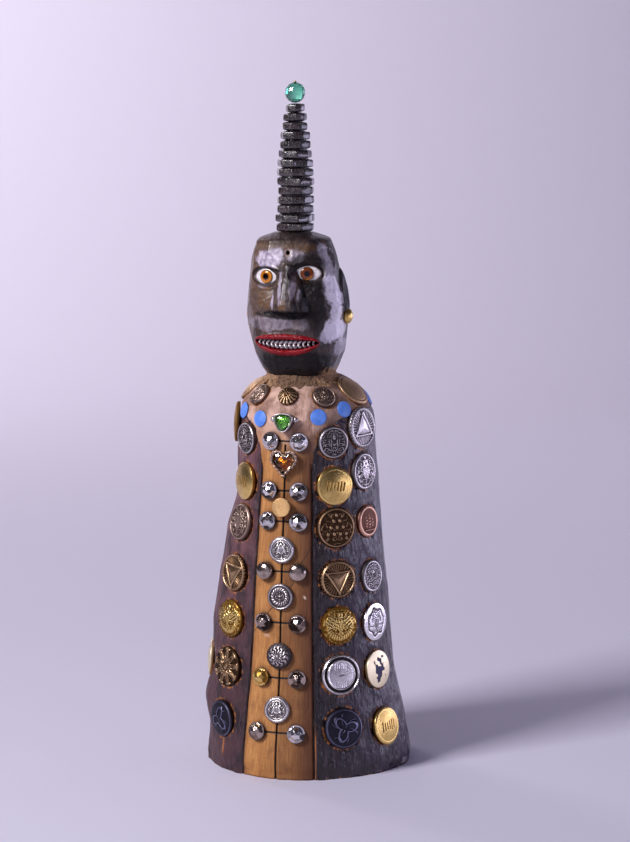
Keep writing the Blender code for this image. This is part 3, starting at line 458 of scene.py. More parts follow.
def with_ends(values, end=FAR_AWAY):
    """The same marks with one end value for the rings above and below the robe's side."""
    above = np.full((len(top_rings), values.shape[1]), end)
    below = np.full((len(foot_rings), values.shape[1]), end)
    return [np.concatenate([above, values, below])]


streak = step_up(1.0 - np.hypot((laid + 41.2) / 0.7, (up - 13) / 8), 0, 0.6)
sliver = step_up(0.55 - np.abs(side_gap + 1.4), 0, 0.4) * step_up(30 - up + 12 * noise(robe, 0.006, 14), 0, 9)
sliver = sliver * (turned > 0) * step_up(noise(robe, 0.005, 15), 0.25, 0.5)
robe_marks = {
    "tan": with_ends(tan, 9.0),
    "socket": with_ends(socket_gap),
    "stud": with_ends(stud_gap),
    "cut": with_ends(np.minimum(centre_gap, cut_gap + FAR_AWAY * (np.abs(turned) > 14))),
    "front_crack": with_ends(front_crack),
    "left_split": with_ends(left_split),
    "back_split": with_ends(back_split),
    "right": with_ends(np.sin(np.radians(angle)), 0.0),
    # half marks the panel's right half and, more strongly, its right edge, which are painted darker: partly a
    # darker oil, partly painted shade
    "half": with_ends(0.5 * step_up(turned, -0.3, 0.8) + 0.5 * step_up(turned, 6, 21), 0.0),
    "pale": with_ends(pale_spots, 0.0),
    "bare": with_ends(np.maximum(streak, sliver), 0.0),
}

# %% [markdown]
# ## The robe's wood
#
# The front panel is softwood that was oiled, so its grain shows orange. The sides carry a thin
# aubergine stain, brushed on downwards and worn off to bare wood round the sockets and along the hem.
# One material holds both, because they are one block: the mesh's marks say which finish a point has.

# %% Oiled and stained softwood
softwood, node = start_finish("softwood_oiled_and_stained")
half, border, stud, right, socket, bare_mark, pale, cut = (
    node("Attribute", attribute_name=name, give="Fac")
    for name in ("half", "tan", "stud", "right", "socket", "bare", "pale", "cut")
)
tall = node("SeparateXYZ", node("TexCoord", give="Object"), give="Z")
# Softwood has dark lines 1 to 2 mm apart along the trunk. They give the panel its vertical stripes.
grain = patches(node, 0.9, (1, 1, 34))
bands = patches(node, 7.0, (1, 1, 6), detail=2.0)
soil = patches(node, 9.0, (1, 1, 1.4), detail=4.0)
fine = patches(node, 0.7, (1, 1, 3))
scratches = patches(node, 0.5, (14, 14, 1), detail=2.0)
oiled = coat_over(node, colour("#c98f4e"), "#ab7238", grain, 0.30, 0.74)
oiled = coat_over(node, oiled, "#9a602c", bands, 0.35, 0.70, 0.50)
oiled = coat_over(node, oiled, "#74461f", soil, 0.48, 0.75, 0.55)
oiled = coat_over(node, oiled, "#7e4a20", scratches, 0.56, 0.70, 0.35)
# The panel's right half and its right edge are painted darker: partly a darker oil, partly painted shade
# where the panel turns from the light.
oiled = node("Mix", node("Math", half, 0.90, **TIMES), oiled, colour("#4a2109"), **COLOURS)
oiled = coat_over(node, oiled, "#6e3a16", border, 3.2, 0.2, 0.45)
stud_near = node("MapRange", stud, 3.0, 0.2, 0.0, 0.45, **SMOOTH)
oiled = node("Mix", node("Math", stud_near, soil, **TIMES), oiled, colour("#5a3114"), **COLOURS)
# Hands have greyed the yoke, where the oil wore off first.
yoke_tone = coat_over(node, colour("#d6b09c"), "#876350", soil, 0.35, 0.65)
# The yoke's right is painted darker: painted shadow of the head.
yoke_tone = coat_over(node, yoke_tone, "#33211c", right, 0.30, 0.65, 0.60)
oiled = node("Mix", node("MapRange", tall, 0.192, 0.216, **SMOOTH), oiled, yoke_tone, **COLOURS)
# The top of the robe, under the head, is painted darker: painted shade at the joint.
oiled = coat_over(node, oiled, "#5a3e2c", tall, 0.2325, 0.2370, 0.45)
# The stain is browner on the left and lighter higher up there, and purple, thick and glossy on the right. Its
# front right is painted near black as painted shade, and its far right lilac as painted sheen.
stain = coat_over(node, colour("#4c2d30"), "#1b0f14", right, -0.8, 0.4)
high_up = node("MapRange", tall, 0.05, 0.15, **SMOOTH)
lighter_high_left = node("Math", node("MapRange", right, -0.3, -0.6), high_up, **TIMES)
stain = node("Mix", lighter_high_left, stain, colour("#6f474b"), **COLOURS)
# Painted sheen: lilac over the far right of the stain.
stain = coat_over(node, stain, "#35253a", right, 0.50, 0.95)
brush = patches(node, 2.2, (1, 1, 8), detail=4.0, rough=0.6)
knife = patches(node, 4.0, (1, 1, 3), detail=2.0)
# The lilac streaks along the brush strokes are painted sheen.
stain = coat_over(node, stain, "#6a5564", brush, 0.52, 0.70, 0.30)
stain = coat_over(node, stain, "#190f14", soil, 0.42, 0.68, 0.80)
is_tan = node("MapRange", border, -0.22, 0.18, **SMOOTH)
wood = node("Mix", is_tan, stain, oiled, **COLOURS)
# Bare wood shows beside the sockets and along the hem, in patches.
patchy = node("MapRange", patches(node, 3.4), 0.44, 0.56, **SMOOTH)
worn = node("Math", node("Math", socket, -0.20, **TIMES), node("Math", fine, 1.15, **TIMES), **PLUS)
worn = node("Math", node("MapRange", worn, 0.30, 0.46, **SMOOTH), patchy, **TIMES)
worn = node("Math", worn, node("MapRange", socket, 4.0, 1.2, **SMOOTH), **TIMES)
hem_mark = node("Math", node("Math", fine, 0.011, **TIMES), tall, **MINUS)
hem_worn = node("Math", node("MapRange", hem_mark, 0.0054, 0.0066, **SMOOTH), patchy, **TIMES)
bare = node("Math", node("Math", worn, hem_worn, **LARGEST), bare_mark, **LARGEST)
bare_tone = node("Mix", fine, colour("#7c3f18"), colour("#c98343"), **COLOURS)
wood = node("Mix", bare, wood, bare_tone, **COLOURS)
wood = node("Mix", pale, wood, colour("#e3cdb4"), **COLOURS)
# The cuts and cracks, the panel's edge and the ground round the studs are darker. The dark ring at each
# socket is painted shadow under the button's edge.
off_edge = node("Math", node("Math", border, 0.35, **PLUS), **SIZE_ONLY)
dark = node("MapRange", cut, 0.75, 0.35, **SMOOTH)
lines = []
for mark_name, half_wide in (("front_crack", 0.26), ("left_split", 0.40), ("back_split", 0.45)):
    away = node("Math", node("Attribute", attribute_name=mark_name, give="Fac"), **SIZE_ONLY)
    lines.append(node("MapRange", away, half_wide * 1.4, half_wide * 0.6, **SMOOTH))
lines.append(node("Math", node("MapRange", off_edge, 0.75, 0.25, **SMOOTH), 0.8, **TIMES))
# Painted shadow: a dark ring round each socket, under the button's edge.
lines.append(node("MapRange", socket, 0.45, -0.2, 0.0, 0.85, **SMOOTH))
lines.append(node("MapRange", stud, 1.0, -0.6, 0.0, 0.7, **SMOOTH))
for line in lines:
    dark = node("Math", dark, line, **LARGEST)
wood = node("Mix", dark, wood, colour("#1c120d"), **COLOURS)
on_stain = node("MapRange", is_tan, 1.0, 0.0, 0.15, 1.0)
grit = node("Math", node("Math", grain, 0.25, **TIMES), node("Math", brush, 0.6, **TIMES), **PLUS)
grit = node("Math", grit, node("Math", knife, node("Math", on_stain, 2.2, **TIMES), **TIMES), **PLUS)
glossy = node("MapRange", brush, 0.3, 0.75, 0.20, 0.42, **SMOOTH)
glossy = node("Mix", node("MapRange", right, 0.4, -0.6, **SMOOTH), glossy, 0.52)
varnished = node("MapRange", is_tan, 1.0, 0.0, 0.0, 0.32)
inputs = {
    "Base Color": wood,
    "Roughness": node("Mix", is_tan, glossy, 0.68),
    "Normal": node("Bump", named={"Height": grit, "Distance": 0.0012}),
    "Coat Weight": node("Math", varnished, node("MapRange", right, -0.7, 0.5, 0.1, 0.5), **TIMES),
    "Coat Roughness": 0.2,
}
node("OutputMaterial", node("BsdfPrincipled", named=inputs))
add_piece("robe_carving", [robe_grid], softwood, robe_marks, instead_of="robe")
print("robe triangles:", triangle_counts["robe_carving"])

# %% [markdown]
# ## Metals
#
# The buttons are thin stamped brass, nickel silver, bronze, copper and steel. Handling keeps their
# raised parts bright, tarnish darkens the flat ground, and wax and dirt stay in the hollows. So each
# button's mesh carries a mark of how raised a point is, and one recipe makes every metal from it.


# %% Recipe for a stamped metal
def stamped_metal(name, bright, tarnish, dirt, roughness=0.26, dull=0.5, deep=0.4):
    """Bright colour on raised points, tarnish on the ground, and dirt beside what is raised. deep is how
    far dirt also covers the lowest ground, from 0 to 1."""
    finish, node = start_finish(name)
    raised, beside = (node("Attribute", attribute_name=mark, give="Fac") for mark in ("relief", "beside"))
    cloud = patches(node, 4.0, detail=4.0)
    grain = patches(node, 0.45, detail=2.0)
    cloudy = node("Math", node("Math", cloud, 0.5, **MINUS), 0.7, **TIMES)
    uneven = node("Math", raised, cloudy, **PLUS)
    tone = coat_over(node, colour(tarnish), bright, uneven, 0.20, 0.75)
    low = node("Math", node("MapRange", raised, 0.20, 0.02, **SMOOTH), deep, **TIMES)
    dirty = node("Math", low, node("MapRange", beside, 0.04, 0.30, 0.0, 0.95, **SMOOTH), **LARGEST)
    tone = node("Mix", dirty, tone, colour(dirt), **COLOURS)
    rough = node("MapRange", uneven, 0.15, 0.75, dull, roughness, **SMOOTH)
    inputs = {
        "Base Color": tone,
        "Metallic": 1.0,
        "Roughness": node("Mix", dirty, rough, 0.7),
        "Normal": node("Bump", named={"Height": node("Math", grain, cloud, **PLUS), "Distance": 0.00008}),
    }
    node("OutputMaterial", node("BsdfPrincipled", named=inputs))
    return finish


# Polished by handling, so the raised brass is the brightest gold on the figure.
gilt_brass = stamped_metal("brass_gilt_stamped", "#eac87a", "#ad8038", "#38220b", 0.26, 0.42, 0.6)
old_brass = stamped_metal("brass_aged", "#cdae72", "#957848", "#2c1f14", 0.34, 0.52, 0.6)
plain_brass = stamped_metal("brass_domed_rubbed", "#d2b08a", "#ae8c66", "#5a4531", 0.46, 0.58, 0.3)
# Nickel silver is whiter than steel and keeps a mirror where it is rubbed.
bright_silver = stamped_metal("nickel_silver_polished", "#fbf7f5", "#c6bfc0", "#17120f", 0.18, 0.36, 0.95)
mid_silver = stamped_metal("nickel_silver_handled", "#efe9e6", "#a0989a", "#211a19", 0.26, 0.44, 0.62)
dull_silver = stamped_metal("nickel_silver_tarnished", "#c9c1c0", "#746b6c", "#1a1516", 0.30, 0.50, 0.62)
cut_steel = stamped_metal("steel_cut_and_polished", "#f1eded", "#77706f", "#241f1f", 0.13, 0.22, 0.9)
dark_steel = stamped_metal("steel_oiled_dark", "#c2b0a4", "#54463f", "#17110e", 0.15, 0.28, 0.9)
old_bronze = stamped_metal("bronze_aged", "#b89873", "#5e4530", "#1a110a", 0.30, 0.48, 0.55)
warm_copper = stamped_metal("copper_aged", "#dcae94", "#8f6554", "#2b1811", 0.30, 0.48, 0.45)
coin_metal = stamped_metal("coin_metal_worn", "#b8a08f", "#806a60", "#33251f", 0.34, 0.50, 0.3)
# Blackened metal reflects little, so its relief shows only as thin blue-grey lights.
blue_black = stamped_metal("metal_blackened", "#74748c", "#3c3a45", "#121015", 0.30, 0.42, 0.3)
tan_gilt = stamped_metal("brass_matt_gilt", "#d9b480", "#a9834f", "#5c4126", 0.46, 0.62)
worn_gilt = stamped_metal("brass_silvered_and_worn", "#fff2cc", "#f2d592", "#5c5a70", 0.42, 0.50, 1.0)
print("finishes so far:", len(bpy.data.materials))

# %% [markdown]
# ## What is stamped on the buttons
#
# Each motif is a function of x and y on a disc of radius 1, with y up, and gives how raised the metal
# is there, from 0 to 1. Shields, sprays, wreaths, triangles and rows of strokes are general ornaments.


# %% Motifs
def ridge(distance, half_width):
    """1 - (d / w) squared, held at 0: a raised line with round shoulders."""
    return np.clip(1 - (distance / half_width) ** 2, 0, 1)


def scrolls(x, y, size, seed):
    """Curling lines where 0.65 of one noise and 0.35 of one half as wide add up to near one half. They
    are mirrored about the upright, as on a crest."""
    place = np.stack([np.abs(x), y], axis=-1) + 3.0
    mixed = 0.65 * noise(place, size, seed) + 0.35 * noise(place, size / 2, seed + 3)
    return np.clip(1.2 - np.abs(mixed - 0.5) / 0.085, 0, 1)


def shield(x, y, half, top, foot):
    """Depth inside a shield: straight sides above, and half an ellipse below."""
    fall = np.clip((top * 0.2 - y) / (top * 0.2 - foot), 0, 1)
    return np.minimum(half * np.sqrt(1 - fall**2) - np.abs(x), top - y)


def crest(x, y, seed=1.0, size=0.15):
    """A shield with upright bars, inside curling leaves and a plain ring."""
    u = np.hypot(x, y)
    inside = shield(x, y, 0.27, 0.20, -0.40)
    bars = 0.35 + 0.5 * ridge((x * 7) % 1 - 0.5, 0.34)
    relief = np.where(inside > 0.06, bars, ridge(inside - 0.02, 0.06))
    leaves = scrolls(x, y, size, seed) * step_up(0.86 - u, 0, 0.06)
    leaves = np.maximum(leaves, ridge(u - 0.92, 0.06) * 0.9)
    crown = ridge(np.hypot(x, y - 0.42) - 0.15, 0.09)
    outer = np.maximum(leaves * (inside < -0.03), crown)
    return np.maximum(relief * (inside > -0.04), outer)


def sprays(x, y, leaves=15):
    """Two leafy branches: arcs of a ring, cut into leaves by a slanting wave, open at the top."""
    u, turn = np.hypot(x, y), np.arctan2(x, -y)
    leaf = 0.5 + 0.5 * np.cos(turn * leaves * 2 + np.sign(x) * u * 14)
    open_top = step_up(2.45 - np.abs(turn), 0, 0.3)
    return ridge(u - 0.68, 0.17) * (0.25 + 0.75 * leaf) * open_top


def shield_and_sprays(x, y):
    """A crest between two feathered wings and two leafy branches, with curls to the very edge."""
    u, out = np.hypot(x, y), np.abs(x)
    wing = step_up(1 - np.hypot((out - 0.50) / 0.36, (y - 0.22) / 0.36), 0, 0.15)
    feathers = wing * (0.25 + 0.75 * np.abs(np.sin((y * 0.9 - out * 0.7) * 17)))
    curls = 0.6 * scrolls(x, y, 0.20, 17.0) * step_up(0.99 - u, 0, 0.03)
    crown = ridge(np.hypot(x / 0.8, y - 0.60) - 0.10, 0.10)
    shield = crest(x * 1.5, y * 1.5, 4.0, 0.3) * (u < 0.5)
    return np.maximum.reduce([shield, sprays(x, y), feathers, curls, crown])


def strokes(x, y, pitch=0.19):
    """One row of short strokes that all lean the same way, spell nothing and differ a little in length."""
    u = np.hypot(x, y)
    place = np.floor(x / pitch)
    off = x / pitch - place - 0.5 - 0.5 * y
    tall = 0.25 + 0.05 * np.sin(place * 7.7)
    band = step_up(tall - np.abs(y), 0.0, 0.04) * step_up(0.62 - np.abs(x), 0, 0.05)
    return 0.62 - 0.62 * ridge(off, 0.26) * band + 0.38 * ridge(u - 0.93, 0.07)


def triangle_gap(x, y, point_up, reach):
    """Depth inside an equal-sided triangle: the least distance to its three sides."""
    turns = np.radians([270, 30, 150] if point_up else [90, 210, 330])
    return np.min([reach / 2 - (x * np.cos(t) + y * np.sin(t)) for t in turns], axis=0)


def triangle(x, y, point_up=False, reach=0.86):
    """A low three-sided pyramid in a raised frame, with a hatched ground and a ring round it."""
    u, turn = np.hypot(x, y), np.arctan2(y, x)
    inside = triangle_gap(x, y, point_up, reach)
    hatch = 0.25 + 0.25 * np.cos(turn * 34) * (u > 0.3)
    frame_line = ridge(inside - 0.04, 0.08)
    hollow = 0.15 + 0.75 * np.clip(inside / (reach / 2), 0, 1)
    relief = np.where(inside > 0.11, hollow, np.where(inside > -0.04, frame_line, hatch))
    return np.maximum(relief, ridge(u - 0.93, 0.07))


def rosette(x, y, petals=9):
    """Looped petals: a ridge along each petal's outline, and a knot in the middle."""
    u, turn = np.hypot(x, y), np.arctan2(y, x)
    wave = np.cos(turn * petals)
    outline = ridge(u - 0.60 - 0.26 * wave, 0.09)
    inner = ridge(u - 0.38 + 0.12 * np.cos(turn * petals * 2), 0.07)
    spokes = ridge(np.abs(np.sin(turn * petals / 2)), 0.35) * (u > 0.3) * (u < 0.8) * 0.6
    return np.maximum.reduce([outline, inner, spokes, ridge(u, 0.20), ridge(u - 0.93, 0.06) * (wave > -0.3)])


def wreath(x, y):
    u, turn = np.hypot(x, y), np.arctan2(y, x)
    leaves = ridge(u - 0.60, 0.17) * (0.3 + 0.7 * np.cos(turn * 9 + u * 9) ** 2)
    middle = scrolls(x, y, 0.16, 12.0) * (u < 0.36)
    return np.maximum.reduce([leaves, middle * 0.8, ridge(u - 0.93, 0.08)])


def flutes(x, y, count=14):
    """Ribs from a small boss to the edge, each round across."""
    u, turn = np.hypot(x, y), np.arctan2(y, x)
    rib = np.abs(np.cos(turn * count / 2)) ** 0.7
    return np.maximum(rib * step_up(u, 0.12, 0.30), ridge(u, 0.16))


def petals_and_knots(x, y):
    u, turn = np.hypot(x, y), np.arctan2(y, x)
    lines = np.abs(np.sin(turn * 6 + np.sin(u * 16) * 0.7)) ** 1.5
    return np.maximum(lines * ridge(u - 0.5, 0.42), ridge(u, 0.13))


def dots_and_sprays(x, y):
    """Drops in rows of one to four, over curling leaves and a thin ring."""
    u = np.hypot(x, y)
    relief = scrolls(x, y, 0.17, 21.0) * 0.6 * (u < 0.86)
    for count, upward in ((1, 0.62), (2, 0.32), (3, 0.0), (4, -0.34)):
        for k in range(count):
            across = (k - (count - 1) / 2) * 0.33
            drop = np.hypot(x - across, (y - upward) * (0.9 - 0.3 * np.sign(y - upward)))
            relief = np.maximum(relief * step_up(drop, 0.10, 0.16), 1.1 * ridge(drop, 0.095))
    return np.maximum(np.clip(relief, 0, 1), ridge(u - 0.94, 0.05) * 0.8)


def upright_forms(x, y):
    """Three tall rounded forms side by side on a ground line, in a broad ring."""
    u = np.hypot(x, y)
    relief = ridge(u - 0.90, 0.12)
    for across, tall, low in ((-0.3, 0.42, -0.05), (0.02, 0.55, 0.0), (0.33, 0.40, -0.08)):
        body = np.hypot((x - across) / 0.13, (y - low) / tall)
        relief = np.maximum(relief, ridge(body, 1.0) * (0.6 + 0.4 * np.cos(y * 30 + across * 9)))
    return np.maximum(relief, ridge(y + 0.56, 0.05) * (np.abs(x) < 0.5))


def fine_relief(x, y, seed=31.0, size=0.14):
    u = np.hypot(x, y)
    return np.maximum(scrolls(x, y, size, seed) * step_up(0.84 - u, 0, 0.05), ridge(u - 0.93, 0.07))


def inner_disc(x, y):
    """A thin outer ring, a dark gap, and a raised disc with faint strokes."""
    u = np.hypot(x, y)
    plate = 0.62 * step_up(0.76 - u, 0.0, 0.03) + 0.38 * ridge(u - 0.735, 0.04)
    rows = (strokes(x * 1.6, y * 1.6 - 0.75) < 0.2) | (strokes(x * 1.6, y * 1.6 + 0.75) < 0.2)
    faint = 0.22 * (rows & (u < 0.62)) + 0.5 * step_up(1 - np.hypot(x / 0.20, y / 0.05), 0, 0.3)
    return np.maximum(plate - faint, ridge(u - 0.955, 0.05))


def worn_blotch(x, y):
    """A worn-through patch, longer than it is wide, on a nearly plain face."""
    place = np.stack([x, y], axis=-1) + 5
    patch = np.hypot((x + 0.05) / 0.42, (y - 0.02) / 0.72) + (noise(place, 0.17, 5) - 0.5) * 1.5
    return 0.75 - 0.75 * step_up(0.80 - patch, 0, 0.10) + 0.12 * (noise(place, 0.5, 6) - 0.5)


def dark_shield(x, y):
    """The ground stands bright and the shield's lines and its leaves are sunk and dark."""
    u = np.hypot(x, y)
    cut = crest(x * 1.05, y * 0.95, 7.0, 0.30)
    lines = np.clip(1.3 - np.abs(cut - 0.5) / 0.40, 0, 1) * step_up(0.76 - u, 0, 0.05)
    turn = np.arctan2(y, x)
    mantle = ridge(u - 0.70 - 0.07 * np.cos(turn * 7) * np.abs(np.sin(turn)), 0.09)
    return np.maximum(0.85 - 0.85 * np.maximum(lines, mantle), ridge(u - 0.95, 0.05))


def three_lobes(x, y):
    """A low leafy star, as on blackened dress buttons."""
    u, turn = np.hypot(x, y), np.arctan2(y, x)
    star = ridge(u - 0.45 - 0.22 * np.cos(turn * 3 + 0.5), 0.10)
    veins = ridge(np.sin(turn * 3 + 0.5 + u * 2.4), 0.16) * (u < 0.75)
    return np.maximum.reduce([star * 0.9, veins * 0.7, ridge(u - 0.94, 0.05) * 0.6])


def plain_dome(x, y):
    u = np.hypot(x, y)
    return 0.6 + 0.4 * ridge(u - 0.95, 0.05) - 0.5 * ridge(u - 0.87, 0.035)


def woven_lines(x, y):
    return 0.5 + 0.5 * np.cos((y - 0.45 * x) * 42) * (0.5 + 0.5 * np.cos((x + 0.3 * y) * 26))


def rim_crest(x, y):
    """A crest in a thick raised rim."""
    u = np.hypot(x, y)
    return np.where(u > 0.76, ridge(u - 0.88, 0.13), crest(x * 1.3, y * 1.3, 2.0, 0.22) * (u < 0.74) * 0.8)


covered = (crest(*np.mgrid[-1:1:80j, -1:1:80j]) > 0.5).mean()
print("a crest covers", round(float(covered) * 100), "% of its disc")


# %% [markdown]
# ## A button
#
# A button is stamped from sheet: a low dome, an edge turned over, and its motif raised by a few tenths
# of a millimetre. The grid's rows are rings from the middle out, then over the edge and down the side.


# %% Shape of a button
def beside_raised(raised):
    """How much lower a point is than the mean of four points two or three grid steps away."""
    around = np.roll(raised, -3, axis=1) + np.roll(raised, 3, axis=1)
    rings = np.concatenate([raised[2:], raised[-2:]]) + np.concatenate([raised[:2], raised[:-2]])
    return np.clip((around + rings) / 4 - raised, 0, 1)


def button_grid(radius, motif, dome, depth, edge=BUTTON_EDGE, rings=38, around=128, scallops=None):
    """Height = edge + dome (1 - u squared) + depth x motif, then a quarter round and a straight side."""
    turn = np.arange(around) * 2 * np.pi / around
    u = (np.linspace(0, 1, rings) ** 0.9)[:, None]
    x, y = u * np.cos(turn), u * np.sin(turn)
    raised = motif(x, y)
    round_over = 0.00035
    flat = radius - round_over
    if scallops:
        flat = flat * (1 - 0.035 * np.abs(np.sin(turn * scallops / 2)))
    top = edge + dome * (1 - u**2) + depth * (raised - 0.4)
    face = np.stack([x * flat, y * flat, top], axis=-1)
    steps = np.linspace(0, np.pi / 2, 5)[1:, None]
    out = flat + round_over * np.sin(steps)
    over = np.stack(
        [out * np.cos(turn), out * np.sin(turn), top[-1] - round_over * (1 - np.cos(steps))], axis=-1
    )
    side = np.stack([out[-1] * np.cos(turn), out[-1] * np.sin(turn), np.zeros(around)], axis=-1)
    marks = np.concatenate([raised, np.repeat(raised[-1:], 4, axis=0), np.full((1, around), 0.2)])
    return np.concatenate([face, over, side[None]]), marks


def turned_seat(seat, degrees):
    """The same seat turned about its own Z axis."""
    c, s = math.cos(math.radians(degrees)), math.sin(math.radians(degrees))
    return seat @ np.array([[c, -s, 0, 0], [s, c, 0, 0], [0, 0, 1, 0], [0, 0, 0, 1]])


def add_button(name, seat, radius, look, instead_of):
    """look is (finish, motif, dome in mm, depth in mm, turn in degrees, scallops)."""
    finish, motif, dome, depth, turn, scallops = look
    around = 144 if radius > SMALL_RADIUS else 96
    points, raised = button_grid(
        radius, motif, dome / 1000, depth / 1000, rings=42 if radius > SMALL_RADIUS else 30,
        around=around, scallops=scallops,
    )  # fmt: skip
    seated = put(points, turned_seat(seat, turn))
    held = {"relief": [raised], "beside": [beside_raised(raised)]}
    return add_piece(name, [seated], finish, held, instead_of=instead_of)


INNER_LOOKS = (
    (blue_black, three_lobes, 2.0, 0.5, 20, None, "blackened"),
    (bright_silver, inner_disc, 0.5, 1.0, 0, None, "steel"),
    (gilt_brass, shield_and_sprays, 1.7, 0.6, 0, None, "brass"),
    (old_bronze, triangle, 1.0, 1.2, 3, None, "bronze"),
    (old_bronze, dots_and_sprays, 1.4, 0.7, 0, None, "bronze"),
    (gilt_brass, strokes, 2.0, 0.5, -6, None, "brass"),
    (dull_silver, fine_relief, 1.0, 0.5, 0, None, "steel"),
)
LEFT_INNER_LOOKS = (
    (blue_black, three_lobes, 2.0, 0.5, -30, None, "blackened"),
    (old_bronze, rosette, 1.0, 0.8, 8, 18, "steel"),
    (gilt_brass, shield_and_sprays, 1.7, 0.6, 0, None, "brass"),
    (old_bronze, triangle, 1.0, 1.2, -4, None, "bronze"),
    (coin_metal, crest, 1.3, 0.6, 0, None, "bronze"),
    (gilt_brass, strokes, 1.9, 0.5, 2, None, "brass"),
    (dull_silver, fine_relief, 1.0, 0.5, 15, None, "steel"),
)
OUTER_LOOKS = (
    (gilt_brass, strokes, 1.5, 0.5, 4, None, "brass"),
    (worn_gilt, worn_blotch, 1.6, 0.15, -8, None, "brass"),
    (bright_silver, dark_shield, 1.1, 0.5, 0, None, "steel"),
    (mid_silver, fine_relief, 1.3, 0.5, 10, None, "steel"),
    (warm_copper, upright_forms, 1.0, 0.6, 0, None, "copper"),
    (mid_silver, crest, 1.1, 0.6, 0, None, "steel"),
    (mid_silver, lambda x, y: triangle(x, y, True), 1.0, 1.2, 0, None, "steel"),
)
LEFT_OUTER_LOOKS = (*OUTER_LOOKS[:6], (tan_gilt, crest, 1.0, 0.5, 0, None, "steel"))
print("button looks:", len(INNER_LOOKS + LEFT_INNER_LOOKS + OUTER_LOOKS))

# %% Place the columns of buttons
columns_of_buttons = (
    ("inner_button_left", [-INNER_ANGLE] * 7, INNER_ROWS, LEFT_INNER_RADII, LEFT_INNER_LOOKS),
    ("inner_button_right", [INNER_ANGLE] * 7, INNER_ROWS, RIGHT_INNER_RADII, INNER_LOOKS),
    ("outer_button_left", LEFT_OUTER_ANGLES, OUTER_ROWS, OUTER_RADII, LEFT_OUTER_LOOKS),
    ("outer_button_right", [OUTER_ANGLE] * 7, OUTER_ROWS, OUTER_RADII, OUTER_LOOKS),
)
for column, at_angles, rows, radii, looks in columns_of_buttons:
    for place, (at_angle, row, radius, look) in enumerate(zip(at_angles, rows, radii, looks), start=1):
        node = f"{column}_{place}"
        stands = node if column != "outer_button_left" or place in LEFT_OUTER_SOLIDS else None
        seat = robe_seat(at_angle, row, sunk=BUTTON_SEAT - CLEARANCE)
        add_button(f"{node}_stamped", seat, radius, look[:6], stands)
print("one button has", triangle_counts["inner_button_right_3_stamped"], "triangles")

# %% [markdown]
# ## Buttons of the panel and the yoke
#
# Down the panel sit small buttons with thick rims, a fluted dome and a flat disc that stands off on its
# shank. On the yoke are two coin-like buttons, a ribbed daisy and a plain dome on each shoulder.

# %% Small buttons of the panel
PANEL_LOOKS = (
    (mid_silver, rim_crest, 0.4, 0.9, 0, None, "steel"),
    (dull_silver, petals_and_knots, 2.6, 0.5, 10, 24, "steel"),
    (dull_silver, wreath, 0.7, 0.7, 0, None, "blackened"),
    (mid_silver, rim_crest, 0.4, 0.9, 5, None, "steel"),
)
for place, (row, look) in enumerate(zip(CENTRE_ROWS, PANEL_LOOKS), start=1):
    seat = robe_seat(PANEL_TURN, row, sunk=-CLEARANCE)
    node = f"panel_button_{place}"
    add_button(f"{node}_stamped", seat, SMALL_RADIUS, look[:6], node)

YOKE_LOOKS = (
    (
        "yoke_button_left", -YOKE_BUTTON_ANGLE, YOKE_BUTTON_RADIUS, BUTTON_SEAT,
        (coin_metal, crest, 0.9, 0.5, 15, None), "steel",
    ),
    (
        "yoke_button_right", YOKE_BUTTON_ANGLE, YOKE_BUTTON_RADIUS, BUTTON_SEAT,
        (coin_metal, fine_relief, 1.0, 0.5, 0, None), "bronze",
    ),
    ("yoke_button_middle", 0, DAISY_RADIUS, BUTTON_SEAT / 2, (old_bronze, flutes, 1.6, 0.7, 0, 16), "bronze"),
)
for node, at_angle, radius, depth, look, slot in YOKE_LOOKS:
    seat = robe_seat(at_angle, YOKE_BUTTON_ROW, sunk=depth - CLEARANCE)
    add_button(f"{node}_stamped", seat, radius, look, node)

# %% Shoulder domes
for side, word in ((-1, "left"), (1, "right")):
    seat = robe_seat(side * SHOULDER_ANGLE, SHOULDER_ROW, sunk=SHOULDER_SEAT - CLEARANCE)
    look = (plain_brass, plain_dome, 2.6, 0.3, 0, None)
    node = f"shoulder_button_{word}"
    add_button(f"{node}_domed", seat, SHOULDER_RADIUS, look, node)

# %% The disc that stands off the panel
SHANK_SEAT = 0.0022
SHANK_RADIUS = 0.0020
DISC_STANDOFF = 0.0034
seat = robe_seat(PANEL_TURN, DISC_ROW, sunk=SHANK_SEAT - CLEARANCE)
disc_foot = SHANK_SEAT + DISC_STANDOFF
face, raised = button_grid(DISC_RADIUS, woven_lines, 0.0, 0.00022, edge=disc_foot + BUTTON_EDGE, around=96)
face[-1, :, 2] = disc_foot
turn = np.arange(96) * 2 * np.pi / 96
shank = [(SHANK_RADIUS * np.cos(turn), SHANK_RADIUS * np.sin(turn), np.full(96, z)) for z in (disc_foot, 0)]
disc = np.concatenate([face, np.stack(shank).transpose(0, 2, 1)])
raised = np.concatenate([raised, np.full((2, 96), 0.2)])
marks = {"relief": [raised]}
add_piece("panel_disc_woven", [put(disc, seat)], tan_gilt, marks, instead_of="panel_button_5")
